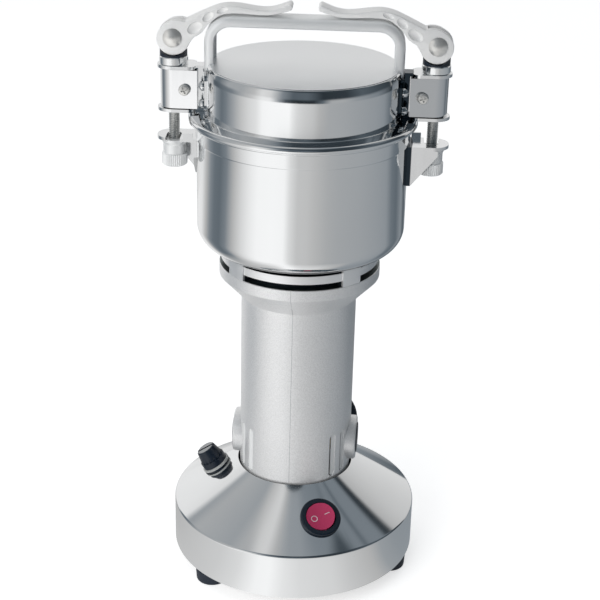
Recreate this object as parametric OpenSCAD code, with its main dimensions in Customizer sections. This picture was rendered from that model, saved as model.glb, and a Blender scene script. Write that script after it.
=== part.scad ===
// Electric grain mill for the kitchen worktop. A spun steel base carries the switch and the fuse, a
// cast column holds the motor, and a steel grinding cup sits on four posts. Two eccentric levers pull
// the lid down on the cup through threaded rods that hook into forks welded to the cup.
// Units are millimetres. The floor is z = 0, +Z is up, and the switch faces -Y.

/* [Base] */
// Outer diameter of the base skirt
base_d = 140; // [134:1:150]
// Height of the upright skirt up to the fold
skirt_h = 26.5; // [24:0.5:30]
// Height of the base shell from its lower edge to the hole at the top
shell_h = 50.5; // [48:0.5:54]
// Wall of the spun shell
shell_t = 1.2; // [0.8:0.1:1.6]
// Outer radius of the fold between skirt and cone
fold_r = 3; // [2:0.5:5]
// Gap between the column and the edge of the hole
hole_gap = 1.2; // [0.6:0.1:2]
// Height of the closing plate's underside above the skirt's edge
plate_recess = 1; // [0.5:0.1:3]
// Thickness of the closing plate
plate_t = 2; // [1.5:0.1:3]
// Height of the closing plate's upturned rim
plate_rim_h = 8; // [5:0.5:12]
// How far the rubber feet stand below the skirt's edge
foot_h = 9; // [7:0.5:12]
// Diameter of a foot where it meets the plate
foot_d = 17; // [14:0.5:19]
// Distance of the feet's centres in from the skirt
foot_inset = 12; // [11.5:0.5:18]
// Number of feet
foot_count = 3; // [3:1:5]

/* [Column] */
// Outer diameter of the cast motor column
column_d = 63.8; // [62:0.2:66]
// Wall of the column
column_wall = 3.2; // [2.6:0.1:3.6]
// Height of the column from the closing plate to the top of its ring
column_h = 171.8; // [168:0.1:180]
// Outer diameter of the ring at the top of the column
ring_d = 88.4; // [86:0.2:92]
// Height of the upright band of that ring
ring_h = 6.3; // [5:0.1:8]
// Height of the flare below the ring
flare_h = 13; // [11:0.5:16]
// Turn of the whole column about its axis, in degrees
column_yaw = -3.2; // [-20:0.1:20]
// Diameter of a brush boss
boss_d = 25.4; // [23:0.2:27]
// Reach of a brush boss from the column's axis
boss_reach = 38.6; // [37:0.1:41]
// Height of the brush axis above the closing plate
brush_h = 63; // [60:0.5:66]
// Width of a vent slot
vent_w = 3.2; // [2.4:0.1:4]
// Length of a vent slot
vent_l = 26.5; // [20:0.5:28]
// Diameter of the cord gland's dome
gland_d = 23; // [20:0.5:24]
// Bore of the cord gland
gland_bore = 7.4; // [6:0.1:9]
// Reach of the cord gland from the column's axis
gland_reach = 39; // [38.6:0.1:42]

/* [Upper shield] */
// Height of the windows between the column's ring and the shield's band
window_h = 3.2; // [2.8:0.1:6]
// Height of the shield's band
band_h = 4.5; // [3:0.1:5]
// How far the pads stand above the band
pad_h = 3; // [1.2:0.1:3.4]
// Width of a post
post_w = 12; // [10:0.5:14]

/* [Cup] */
// Outer diameter of the grinding cup
cup_d = 112.6; // [110:0.2:115]
// Wall of the cup
cup_wall = 1.2; // [1:0.1:1.5]
// Outer radius of the cup's lower corner
cup_corner_r = 12; // [8:0.5:18]
// Height of the cup from its bottom to the step under the collar
cup_h = 60; // [56:0.5:66]
// Height of the collar above the step
collar_h = 8.1; // [7:0.1:10]
// How far the collar steps out
collar_step = 0.7; // [0.4:0.1:1]
// Diameter of the rolled rim
rim_d = 118; // [116:0.2:122]
// Thickness of the rolled rim
rim_t = 2.2; // [1.8:0.1:2.6]

/* [Lid] */
// Outer diameter of the lid's wall
lid_d = 103; // [101:0.2:104.4]
// Height of the lid above its seat on the seal
lid_h = 28.3; // [27.6:0.1:29]
// Sheet thickness of the lid
lid_t = 1.2; // [0.9:0.1:1.5]
// Outer radius of the lid's shoulder
lid_shoulder_r = 4; // [3:0.5:6]
// Thickness of the silicone seal under the flange
seal_t = 0.6; // [0.4:0.1:1]
// Distance between the outer faces of the handle's legs
handle_span = 104; // [102:0.2:104.6]
// Height of the handle above the lid's top
handle_h = 25; // [24:0.1:25.2]
// Width of the handle strap
handle_w = 16; // [14:0.5:20]
// Depth of the strap's turned edges
handle_depth = 6.2; // [5:0.2:7]
// Outer radius of the handle's corners
handle_corner_r = 14; // [13.5:0.1:16]
// Sheet thickness of the handle
handle_t = 1.3; // [1:0.1:1.6]

/* [Clamps] */
// Distance of each clamp rod from the mill's axis
rod_x = 68.5; // [68:0.1:70]
// Diameter of a clamp rod
rod_d = 5.9; // [5.6:0.1:6]
// Radius of the lever's cam where it presses when closed
cam_r = 9.25; // [9:0.05:9.5]
// How far the cam lets the rod drop when the lever is opened
cam_lift = 1.5; // [1.2:0.05:1.5]
// Opening angle of a lever, in degrees
lever_open = 130; // [100:5:130]
// Length of a lever from its pin to its tip
lever_l = 62; // [61:0.2:63]
// Width of a lever across its cheeks
lever_w = 11; // [10.4:0.2:12]
// Diameter of the lever pin
pin_d = 5; // [4.6:0.1:5.4]
// Thickness of the rod's eye
eye_t = 5.2; // [4.6:0.1:5.6]
// Height of the clamp bracket from plate to plate
bracket_h = 24.6; // [24:0.1:25]
// Sheet thickness of the clamp bracket
bracket_t = 1.7; // [1.4:0.1:2]
// Width of the clamp box
box_w = 14; // [13:0.2:15]
// Sheet thickness of the clamp box
box_t = 1.2; // [1:0.1:1.4]
// Diameter of the steel ring on the bracket
seat_ring_d = 15.2; // [14.6:0.2:16]
// Height of the steel ring on the bracket
seat_ring_h = 4.2; // [3.8:0.1:4.6]
// Largest diameter of the knurled nut
nut_d = 13.6; // [13:0.2:14]
// Height of the knurled nut
nut_h = 14.6; // [13:0.2:17]
// Number of knurls on a nut
knurl_count = 40; // [30:2:48]
// Width of the slot in a fork
fork_slot = 7.8; // [7.6:0.1:8.4]
// Thickness of the fork's plate
fork_t = 1.8; // [1.5:0.1:2.2]
// Reach of the fork's plate from the mill's axis
fork_reach = 77.5; // [77:0.1:79]

/* [Switch and fuse] */
// Diameter of the round switch's bezel
bezel_d = 23; // [22:0.2:24]
// Diameter of the rocker
rocker_d = 16; // [15:0.2:16.6]
// Tilt of the rocker from off to on, in degrees
rocker_throw = 14; // [8:1:16]
// Direction of the switch seen from above, in degrees from +X
switch_angle = -70.5; // [-90:0.5:-60]
// Distance of the switch and the fuse holder from the mill's axis
switch_r = 50.9; // [49:0.1:52]
// Diameter of the fuse holder's cap
fuse_cap_d = 14; // [12:0.2:15]
// Height of the fuse holder's cap
fuse_cap_h = 11; // [9:0.5:13]
// Distance of the fuse holder from the mill's axis
fuse_r = 45.6; // [45.6:0.1:50]

/* [Motor] */
// Diameter of the armature
armature_d = 38; // [36:0.5:39]
// Length of the laminated stack
stack_l = 48; // [44:1:52]
// Diameter of the commutator
commutator_d = 26; // [24:0.5:28]
// Diameter of the shaft between its bearings
shaft_d = 10; // [9:0.5:10.6]
// Outer diameter of the lower bearing
lower_bearing_d = 22; // [20:0.5:24]
// Outer diameter of the upper bearing
upper_bearing_d = 28; // [26:0.5:30]
// Length of a blade from tip to tip
blade_span = 92; // [80:1:98]
// Width of a blade
blade_w = 14; // [11:0.5:17]
// Thickness of a blade
blade_t = 2; // [1.5:0.1:2.6]

/* [Hidden] */
$fn = 96;

// Fits and small standard sizes
snug = 0.02;
running = 0.05;
clear = 0.3;
overrun = 1;
screw_d = 4;
screw_head_d = 7.4;
screw_head_h = 2.6;
small_screw_d = 2.6;
arc_steps = 6;

// Heights above the floor
z_skirt = foot_h;
z_fold = z_skirt + skirt_h;
z_hole = z_skirt + shell_h;
z_plate = z_skirt + plate_recess;
z_floor = z_plate + plate_t;
z_ring_top = z_floor + column_h;
z_ring = z_ring_top - ring_h;
z_flare = z_ring - flare_h;
z_brush = z_floor + brush_h;
z_band = z_ring_top + window_h;
z_band_top = z_band + band_h;
z_cup = z_band_top + pad_h;
z_step = z_cup + cup_h;
z_rim = z_step + collar_h;
z_rim_top = z_rim + rim_t;
seal_gap = 0.15;
z_seat = z_rim_top + seal_gap + seal_t;
z_lid_top = z_seat + lid_h;
z_handle = z_lid_top + handle_h;

// Radii
base_r = base_d / 2;
foot_ring_r = base_r - foot_inset;
column_r = column_d / 2;
column_bore_r = column_r - column_wall;
ring_r = ring_d / 2;
hole_r = column_r + hole_gap;
cup_r = cup_d / 2;
rim_r = rim_d / 2;
lid_r = lid_d / 2;
cone_slope = atan((z_hole - z_fold) / (base_r - hole_r));

function arc(c, r, a0, a1, n = arc_steps) =
    [for (i = [0:n]) let (a = a0 + (a1 - a0) * i / n) [c[0] + r * cos(a), c[1] + r * sin(a)]];

// A smooth curve through key points, with steps points from each to the next
function through(p, steps = 4) = [
    for (i = [0:len(p) - 2], k = [0:steps - 1])
        let (
            a = p[max(i - 1, 0)], b = p[i], c = p[i + 1], d = p[min(i + 2, len(p) - 1)],
            t = k / steps
        )
        0.5 * (2 * b + (c - a) * t + (2 * a - 5 * b + 4 * c - d) * t * t
            + (3 * b - a - 3 * c + d) * t * t * t),
    p[len(p) - 1]
];

module disc(r, h) { cylinder(r = r, h = h); }

module ring(r_out, r_in, h) {
    difference() {
        cylinder(r = r_out, h = h);
        translate([0, 0, -overrun]) cylinder(r = r_in, h = h + 2 * overrun);
    }
}

module around(count, r, yaw = 0) {
    for (i = [0:count - 1]) rotate([0, 0, yaw + i * 360 / count]) translate([r, 0, 0]) children();
}

// Left and right copies, mirrored in the plane between them
module on_right() { children(); }
module on_left() { mirror([1, 0, 0]) children(); }
module both_sides() {
    on_right() children();
    on_left() children();
}

// A place on the cone of the base: +Z points out of it and +X points down the slope
module on_cone(r, angle) {
    z = z_hole - (r - hole_r) * tan(cone_slope);
    rotate([0, 0, angle]) translate([r, 0, z]) rotate([0, cone_slope, 0]) children();
}

// A pan-head screw that points down, with its head's seat at z = 0
module pan_screw(d, head_d, head_h, l) {
    translate([0, 0, -l]) cylinder(d = d, h = l);
    rotate_extrude() polygon(concat(
        [[0, 0]], [[head_d / 2, 0]],
        arc([head_d / 2 - head_h / 2, head_h / 2], head_h / 2, 0, 90),
        [[0, head_h]]
    ));
}

module obround(l, w, h) {
    linear_extrude(h) union() {
        square([l - w, w], center = true);
        for (s = [-1, 1]) translate([s * (l - w) / 2, 0]) circle(d = w);
    }
}

// Base

// Outline of the base's outer surface, from the skirt's edge to the hole, moved inwards by inset
function shell_line(inset) =
    let (
        c = [base_r - fold_r, z_fold - fold_r * (1 - sin(cone_slope)) / cos(cone_slope)],
        r = fold_r - inset
    )
    concat(
        [[base_r - inset, z_skirt]],
        arc(c, r, 0, 90 - cone_slope),
        [[hole_r, z_hole - inset / cos(cone_slope)]]
    );

module base_solid() {
    rotate_extrude() polygon(concat([[0, z_skirt]], shell_line(0), [[0, z_hole]]));
}

module base_shell() color("silver") {
    inner = shell_line(shell_t);
    difference() {
        rotate_extrude() polygon(concat(
            shell_line(0), [for (i = [len(inner) - 1:-1:0]) inner[i]]
        ));
        on_cone(switch_r, switch_angle)
            translate([0, 0, -shell_t - overrun]) cylinder(r = switch_hole_r, h = shell_t + 3 * overrun);
        on_cone(fuse_r, fuse_angle)
            translate([0, 0, -shell_t - overrun]) cylinder(r = fuse_hole_r, h = shell_t + 3 * overrun);
    }
}

plate_r = base_r - shell_t - snug;
plate_rim_t = 1.4;
column_flange_r = 41;
column_flange_t = 4;
column_screw_ring_r = 36.5;
column_screw_count = 4;
intake_count = 10;
intake_l = 12;
intake_w = 3;
intake_ring_r = 22;
foot_yaw = -19.2;
nut_across = 7;
nut_t = 3;

module bottom_plate() color("dimgray") {
    difference() {
        union() {
            translate([0, 0, z_plate]) disc(plate_r, plate_t);
            translate([0, 0, z_plate]) ring(plate_r, plate_r - plate_rim_t, plate_rim_h);
        }
        translate([0, 0, z_plate - overrun]) {
            around(foot_count, foot_ring_r, foot_yaw)
                cylinder(r = screw_d / 2 + clear, h = plate_t + 2 * overrun);
            around(column_screw_count, column_screw_ring_r, column_yaw)
                cylinder(r = screw_d / 2 + clear, h = plate_t + 2 * overrun);
            around(intake_count, intake_ring_r) obround(intake_l, intake_w, plate_t + 2 * overrun);
        }
    }
}

foot_total = foot_h + plate_recess;
foot_taper = 1.2;
foot_recess_r = 4.6;
foot_floor = 4;

module feet() color("black") {
    around(foot_count, foot_ring_r, foot_yaw) difference() {
        rotate_extrude() polygon(concat(
            [[0, 0], [foot_d / 2 - foot_taper - foot_taper, 0]],
            arc([foot_d / 2 - 2 * foot_taper, foot_taper], foot_taper, -90, 0),
            [[foot_d / 2, foot_total], [0, foot_total]]
        ));
        translate([0, 0, -overrun]) cylinder(r = foot_recess_r, h = foot_total - foot_floor + overrun);
        translate([0, 0, -overrun]) cylinder(r = screw_d / 2 + clear, h = foot_total + 2 * overrun);
    }
}

module foot_screws() color("gainsboro") {
    around(foot_count, foot_ring_r, foot_yaw) {
        translate([0, 0, foot_total - foot_floor])
            rotate([180, 0, 0]) pan_screw(screw_d, screw_head_d, screw_head_h, foot_floor + plate_t + nut_t);
        translate([0, 0, z_floor]) difference() {
            cylinder(d = nut_across, h = nut_t, $fn = 6);
            translate([0, 0, -overrun]) cylinder(r = screw_d / 2 + snug, h = nut_t + 2 * overrun);
        }
    }
}

// Column

flange_fillet_r = 3;
gland_rise = 2;
lower_lip = 1.5;
bridge_window_count = 4;
bridge_window_r = 5;
bridge_t = 4;
bridge_drop = 22;
bridge_z = z_brush - bridge_drop;
lower_bearing_h = 7;
lower_hub_wall = 3.5;
vent_angles = [47, 62.5, 227, 242.5, 297.5, 313];
vent_drop = 1;
gland_angle = 45.5;
gland_stem_r = 6;
gland_boss_r = 8.5;
gland_boss_reach = 33.4;
brush_bore_r = 8.4;
mouth_r = ring_r - 5.7;
column_front = -90;

module column_frame() { rotate([0, 0, column_yaw]) children(); }

// Places a child with +Z pointing out of the column in a direction seen from above
module out_of_column(angle, z) {
    rotate([0, 0, angle]) translate([0, 0, z]) rotate([0, 90, 0]) children();
}

module motor_column() color("lightgray") column_frame() {
    difference() {
        union() {
            rotate_extrude() polygon(concat(
                [[column_bore_r, z_floor], [column_flange_r, z_floor],
                 [column_flange_r, z_floor + column_flange_t]],
                arc([column_r + flange_fillet_r, z_floor + column_flange_t + flange_fillet_r],
                    flange_fillet_r, 270, 180),
                [[column_r, z_flare], [ring_r, z_ring], [ring_r, z_ring_top],
                 [mouth_r, z_ring_top], [mouth_r, z_ring], [column_bore_r, z_flare]]
            ));
            for (a = [0, 180]) out_of_column(a, z_brush) {
                translate([0, 0, column_bore_r]) cylinder(d = boss_d, h = boss_reach - column_bore_r);
            }
            out_of_column(gland_angle, z_brush + gland_rise)
                translate([0, 0, column_bore_r])
                    cylinder(r = gland_boss_r, h = gland_boss_reach - column_bore_r);
            translate([0, 0, bridge_z]) disc(column_bore_r + snug, bridge_t);
            translate([0, 0, bridge_z]) disc(lower_bearing_d / 2 + lower_hub_wall, lower_bearing_h);
        }
        difference() {
            translate([0, 0, z_floor - overrun]) cylinder(r = column_bore_r, h = column_h - flare_h);
            translate([0, 0, bridge_z]) disc(column_bore_r + overrun, bridge_t);
            translate([0, 0, bridge_z]) disc(lower_bearing_d / 2 + lower_hub_wall, lower_bearing_h);
        }
        translate([0, 0, bridge_z + lower_lip]) cylinder(d = lower_bearing_d, h = lower_bearing_h);
        translate([0, 0, bridge_z - overrun])
            cylinder(r = shaft_d / 2 + clear, h = bridge_t + 2 * overrun);
        around(bridge_window_count, (column_bore_r + lower_bearing_d / 2 + lower_hub_wall) / 2,
            180 / bridge_window_count)
            translate([0, 0, bridge_z - overrun])
                cylinder(r = bridge_window_r, h = bridge_t + 2 * overrun);
        for (a = [0, 180]) out_of_column(a, z_brush) cylinder(r = brush_bore_r, h = boss_reach + overrun);
        out_of_column(gland_angle, z_brush + gland_rise)
            cylinder(r = gland_stem_r, h = gland_reach);
        for (a = vent_angles) out_of_column(column_front + a, z_brush - vent_drop)
            translate([0, 0, column_bore_r - overrun])
                obround(vent_l, vent_w, column_wall + 3 * overrun);
        around(column_screw_count, column_screw_ring_r)
            translate([0, 0, z_floor - overrun])
                cylinder(d = screw_d, h = column_flange_t + flange_fillet_r + 2 * overrun);
        around(shield_screw_count, shield_screw_ring_r, post_yaw)
            translate([0, 0, z_ring_top - shield_screw_l])
                cylinder(d = shield_screw_d, h = shield_screw_l + overrun);
    }
}

module column_screws() color("gainsboro") {
    around(column_screw_count, column_screw_ring_r, column_yaw)
        translate([0, 0, z_plate - snug]) rotate([180, 0, 0])
            pan_screw(screw_d - 2 * snug, screw_head_d, screw_head_h, plate_t + column_flange_t);
}

// Upper shield

shaft_top_r = 6;
shield_screw_d = 3;
shield_head_d = 5.4;
shield_recess_r = shield_head_d / 2 + clear / 2;
shield_screw_count = 4;
shield_screw_ring_r = 40.6;
shield_screw_l = 6;
post_yaw = 45;
post_depth = 6.2;
band_r = ring_r - 0.7 * band_h / 3.5;
spigot_r = mouth_r - 0.2 * rim_t / 2.2;
spigot_t = 2.4;
spigot_drop = 4.5;
upper_bearing_h = 8;
upper_hub_wall = 3.5;
upper_hub_r = upper_bearing_d / 2 + upper_hub_wall;
upper_lip = 2;
z_upper_bearing = z_band_top - upper_lip - upper_bearing_h;
arm_w = 16;
cup_screw_ring_r = 32;
cup_screw_count = 4;

module cup_body(inset) {
    rotate_extrude() polygon(concat(
        [[0, z_cup + inset]],
        arc([cup_r - cup_corner_r, z_cup + cup_corner_r], cup_corner_r - inset, -90, 0, 2 * arc_steps),
        [[cup_r - inset, z_step], [cup_r + collar_step - inset, z_step + collar_step],
         [cup_r + collar_step - inset, z_rim_top], [0, z_rim_top]]
    ));
}

module upper_shield() color("gainsboro") column_frame() {
    difference() {
        union() {
            translate([0, 0, z_band]) ring(band_r, spigot_r - spigot_t, band_h);
            translate([0, 0, z_ring_top - spigot_drop])
                ring(spigot_r, spigot_r - spigot_t, spigot_drop + window_h + band_h);
            translate([0, 0, z_upper_bearing]) cylinder(r = upper_hub_r, h = upper_bearing_h + upper_lip);
            for (i = [0:shield_screw_count - 1]) rotate([0, 0, post_yaw + i * 360 / shield_screw_count]) {
                intersection() {
                    translate([spigot_r - spigot_t, -post_w / 2, z_ring_top])
                        cube([post_depth + spigot_t, post_w, window_h + band_h + pad_h + cup_corner_r]);
                    translate([0, 0, z_ring_top]) cylinder(r = ring_r, h = z_cup + pad_h - z_ring_top);
                }
                translate([upper_hub_r - overrun, -arm_w / 2, z_band])
                    cube([spigot_r - upper_hub_r, arm_w, band_h]);
                translate([cup_screw_ring_r, 0, z_band]) cylinder(d = arm_w - 2 * clear, h = band_h + pad_h);
            }
        }
        cup_body(0);
        translate([0, 0, z_upper_bearing - overrun])
            cylinder(d = upper_bearing_d, h = upper_bearing_h + overrun);
        translate([0, 0, z_upper_bearing])
            cylinder(r = shaft_top_r + clear, h = upper_bearing_h + upper_lip + overrun);
        around(cup_screw_count, cup_screw_ring_r, post_yaw)
            translate([0, 0, z_band - overrun]) cylinder(d = screw_d, h = band_h + pad_h + 2 * overrun);
        around(shield_screw_count, shield_screw_ring_r, post_yaw) {
            translate([0, 0, z_ring_top - overrun])
                cylinder(d = shield_screw_d + clear, h = window_h + band_h + pad_h + cup_corner_r);
            translate([0, 0, z_band]) cylinder(r = shield_recess_r, h = cup_corner_r);
        }
    }
}

module shield_screws() color("gainsboro") column_frame() {
    around(shield_screw_count, shield_screw_ring_r, post_yaw)
        translate([0, 0, z_band]) pan_screw(shield_screw_d - 2 * snug, shield_head_d, screw_head_h,
            window_h + shield_screw_l - clear);
}

// A closed ball bearing with its bore up the Z axis
bearing_race_share = 0.26;

module bearing(d, bore_r, h) {
    wall = (d / 2 - bore_r) * bearing_race_share;
    groove = h * 0.06;
    difference() {
        cylinder(d = d - 2 * snug, h = h);
        translate([0, 0, -overrun]) cylinder(r = bore_r, h = h + 2 * overrun);
        for (z = [-overrun, h - groove]) translate([0, 0, z])
            ring(d / 2 - wall, bore_r + wall, groove + overrun);
    }
}

module lower_bearing() color("silver") {
    translate([0, 0, bridge_z + lower_lip]) bearing(lower_bearing_d, shaft_low_r + running, lower_bearing_h);
}

module upper_bearing() color("silver") {
    translate([0, 0, z_upper_bearing]) bearing(upper_bearing_d, shaft_top_r + running, upper_bearing_h);
}

// Motor

shaft_low_r = 4;
commutator_l = 20;
z_commutator = z_brush - commutator_l / 2;
stack_gap = 12;
z_stack = z_commutator + commutator_l + stack_gap;
winding_h = 8;
winding_gap = 1;
stator_r = column_bore_r - snug;
yoke_t = 4;
air_gap = 0.6;
pole_arc = 116;
coil_clear = 0.4;
coil_arc = 174;
coil_window_arc = 124;

// A sector of a ring, centred on +X
module ring_sector(r_out, r_in, spread, h) {
    rotate([0, 0, -spread / 2]) rotate_extrude(angle = spread)
        translate([r_in, 0]) square([r_out - r_in, h]);
}

module stator_core() color("darkslategray") column_frame() {
    bore_r = armature_d / 2 + air_gap;
    translate([0, 0, z_stack]) {
        ring(stator_r, stator_r - yoke_t, stack_l);
        for (a = [90, 270]) rotate([0, 0, a])
            ring_sector(stator_r - yoke_t + snug, bore_r, pole_arc, stack_l);
    }
}

module field_coils() color("peru") column_frame() {
    r_in = armature_d / 2 + air_gap + coil_clear;
    r_out = stator_r - yoke_t - coil_clear;
    for (a = [90, 270]) rotate([0, 0, a]) translate([0, 0, z_stack - winding_gap]) difference() {
        translate([0, 0, -winding_h])
            ring_sector(r_out, r_in, coil_arc, stack_l + 2 * (winding_gap + winding_h));
        ring_sector(r_out + overrun, r_in - overrun, coil_window_arc, stack_l + 2 * winding_gap);
    }
}

armature_slots = 12;
armature_slot_w = 2.4;
armature_slot_depth = 7;

module armature() color("slategray") {
    translate([0, 0, z_stack]) difference() {
        cylinder(d = armature_d, h = stack_l);
        translate([0, 0, -overrun]) cylinder(r = shaft_d / 2 + snug, h = stack_l + 2 * overrun);
        around(armature_slots, armature_d / 2 - armature_slot_depth)
            translate([0, -armature_slot_w / 2, -overrun])
                cube([armature_slot_depth + overrun, armature_slot_w, stack_l + 2 * overrun]);
    }
}

winding_r = armature_d / 2 - 2.5 * winding_h / 8;

module armature_windings() color("chocolate") {
    for (z = [z_stack - winding_h, z_stack + stack_l]) translate([0, 0, z]) difference() {
        cylinder(r = winding_r, h = winding_h);
        translate([0, 0, -overrun]) cylinder(r = shaft_d / 2 + snug, h = winding_h + 2 * overrun);
    }
}

commutator_bars = 24;
bar_gap = 0.5;

module commutator() color("darkgoldenrod") {
    translate([0, 0, z_commutator]) difference() {
        cylinder(d = commutator_d, h = commutator_l);
        translate([0, 0, -overrun]) cylinder(r = shaft_d / 2 + snug, h = commutator_l + 2 * overrun);
        around(commutator_bars, commutator_d / 2 - bar_gap)
            translate([0, -bar_gap / 2, -overrun])
                cube([bar_gap + overrun, bar_gap, commutator_l + 2 * overrun]);
    }
}

shaft_step = 5;
z_shaft_low = bridge_z + lower_lip - overrun;
z_shaft_journal = bridge_z + lower_lip + lower_bearing_h + overrun;
blade_bore_r = 4;
blade_rise = 9;
z_blade = z_cup + cup_wall + blade_rise;
spacer_h = 14;
spacer_d = 16;
blade_nut_h = 8;
blade_nut_across = 14;

module motor_shaft() color("silver") {
    translate([0, 0, z_shaft_low]) cylinder(r = shaft_low_r, h = z_shaft_journal - z_shaft_low + snug);
    translate([0, 0, z_shaft_journal])
        cylinder(d = shaft_d, h = z_upper_bearing - shaft_step - z_shaft_journal + snug);
    translate([0, 0, z_upper_bearing - shaft_step])
        cylinder(r = shaft_top_r, h = z_blade - z_upper_bearing + shaft_step);
    translate([0, 0, z_blade - snug])
        cylinder(r = blade_bore_r, h = 2 * blade_t + spacer_h + blade_nut_h + overrun);
}

fan_r = column_bore_r - 3;
fan_h = 8;
fan_blades = 9;
fan_web_t = 1.6;
fan_hub_r = 9;
fan_blade_t = 1.4;
z_fan = z_stack + stack_l + 2 * winding_gap + winding_h + 1.2;

module cooling_fan() color("ivory") {
    translate([0, 0, z_fan]) difference() {
        union() {
            disc(fan_r, fan_web_t);
            disc(fan_hub_r, fan_h);
            around(fan_blades, fan_hub_r - overrun) translate([0, -fan_blade_t / 2, 0])
                cube([fan_r - fan_hub_r, fan_blade_t, fan_h]);
        }
        translate([0, 0, -overrun]) cylinder(r = shaft_d / 2 + snug, h = fan_h + 2 * overrun);
    }
}

// Brush gear, on the axis across the column

brush_tube_r = brush_bore_r - snug;
brush_tube_w = 11.2;
brush_tube_h = 6.8;
brush_in = commutator_d / 2 + running;
brush_l = 14;
brush_tube_in = commutator_d / 2 + 1.2;
brush_slack = 0.2;
cap_rim_r = boss_d / 2 - 1.3;
cap_rim_t = 1.4;
cap_stem_l = 4;
cap_slot_w = 1.6;
cap_slot_depth = 0.8;
brush_tube_out = boss_reach - cap_stem_l;

module brush_axes() { column_frame() for (a = [0, 180]) out_of_column(a, z_brush) children(); }

module brush_tubes() color("goldenrod") brush_axes() {
    translate([0, 0, brush_tube_in]) difference() {
        cylinder(r = brush_tube_r, h = brush_tube_out - brush_tube_in);
        translate([0, 0, (brush_tube_out - brush_tube_in) / 2])
            cube([brush_tube_w, brush_tube_h, brush_tube_out - brush_tube_in + 2 * overrun], center = true);
    }
}

module carbon_brushes() color("dimgray") brush_axes() {
    translate([0, 0, brush_in + brush_l / 2])
        cube([brush_tube_w - brush_slack, brush_tube_h - brush_slack, brush_l], center = true);
}

module brush_springs() color("silver") brush_axes() {
    translate([0, 0, brush_in + brush_l])
        ring(brush_tube_h / 2 - brush_slack, brush_tube_h / 4, brush_tube_out - brush_in - brush_l);
}

module brush_caps() color("black") brush_axes() {
    difference() {
        union() {
            translate([0, 0, brush_tube_out]) cylinder(r = brush_tube_r, h = cap_stem_l + snug);
            translate([0, 0, boss_reach]) rotate_extrude() polygon(concat(
                [[0, 0], [cap_rim_r, 0]],
                arc([cap_rim_r - cap_rim_t / 2, cap_rim_t / 2], cap_rim_t / 2, 0, 90),
                [[0, cap_rim_t]]
            ));
        }
        translate([0, 0, boss_reach + cap_rim_t])
            cube([2 * cap_rim_r, cap_slot_w, 2 * cap_slot_depth], center = true);
    }
}

// Cord gland at the rear right of the column, open for a cord

gland_cap_in = gland_boss_reach;
gland_dome_r = 2.5;
gland_nut_r = 9;
gland_nut_t = 3;
gland_stem_in = column_bore_r - gland_nut_t - overrun;
gland_seat = column_bore_r - sqrt(pow(column_bore_r, 2) - pow(gland_nut_r, 2));

module cord_gland() color("black") column_frame() out_of_column(gland_angle, z_brush + gland_rise) {
    h = gland_reach - gland_cap_in;
    difference() {
        union() {
            translate([0, 0, gland_stem_in]) cylinder(r = gland_stem_r - snug, h = gland_cap_in - gland_stem_in);
            translate([0, 0, gland_cap_in]) rotate_extrude() polygon(concat(
                [[0, 0], [gland_d / 2, 0]],
                arc([gland_d / 2 - gland_dome_r, h - gland_dome_r], gland_dome_r, 0, 90),
                [[0, h]]
            ));
        }
        cylinder(d = gland_bore, h = gland_reach + overrun);
    }
}

module gland_nut() color("dimgray") column_frame() out_of_column(gland_angle, z_brush + gland_rise) {
    translate([0, 0, column_bore_r - gland_nut_t - gland_seat]) difference() {
        cylinder(r = gland_nut_r, h = gland_nut_t, $fn = 6);
        translate([0, 0, -overrun]) cylinder(r = gland_stem_r, h = gland_nut_t + 2 * overrun);
    }
}

// Switch

switch_hole_r = 10;
bezel_h = 2;
bezel_round = 1;
bezel_drop = 2;
switch_body_r = switch_hole_r - 0.1 * bezel_round;
switch_body_l = 15;
rocker_ball_r = rocker_d / 2 + 0.35 * bezel_round;
rocker_well_r = rocker_ball_r + 0.2 * bezel_round;
rocker_well_l = 5;
rocker_pivot_z = 0.4;
rocker_rise = 3.2;
rocker_drop = 3.4;
rocker_pin_r = 0.8;
rocker_pin_reach = rocker_well_r + 0.6 * bezel_round;
rocker_dish_r = 26;
rocker_dish = 1.2;
rocker_yaw = 10;

module switch_frame() { on_cone(switch_r, switch_angle) rotate([0, 0, rocker_yaw]) children(); }

module switch_body() color("black") {
    difference() {
        union() {
            difference() {
                switch_frame() translate([0, 0, -bezel_drop]) rotate_extrude() polygon(concat(
                    [[0, 0], [bezel_d / 2, 0]],
                    arc([bezel_d / 2 - bezel_round, bezel_drop + bezel_h - bezel_round], bezel_round, 0, 90),
                    [[rocker_well_r + bezel_round / 2, bezel_drop + bezel_h],
                     [0, bezel_drop + bezel_h]]
                ));
                base_solid();
            }
            switch_frame() translate([0, 0, -switch_body_l])
                cylinder(r = switch_body_r, h = switch_body_l + bezel_h / 2);
        }
        switch_frame() {
            translate([0, 0, -rocker_well_l]) cylinder(r = rocker_well_r, h = rocker_well_l + bezel_h + overrun);
            translate([-rocker_pin_reach - running, 0, rocker_pivot_z]) rotate([0, 90, 0])
                cylinder(r = rocker_pin_r + running, h = 2 * (rocker_pin_reach + running));
        }
    }
}

module rocker() color("crimson") switch_frame() translate([0, 0, rocker_pivot_z])
    rotate([rocker_throw / 2, 0, 0]) {
        difference() {
            intersection() {
                translate([0, 0, -rocker_drop]) cylinder(d = rocker_d, h = rocker_drop + rocker_rise);
                sphere(r = rocker_ball_r);
            }
            translate([-rocker_d, 0, rocker_dish_r + rocker_rise - rocker_dish])
                rotate([0, 90, 0]) cylinder(r = rocker_dish_r, h = 2 * rocker_d);
        }
        translate([-rocker_pin_reach, 0, 0]) rotate([0, 90, 0])
            cylinder(r = rocker_pin_r, h = 2 * rocker_pin_reach);
    }

// Fuse holder

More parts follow.
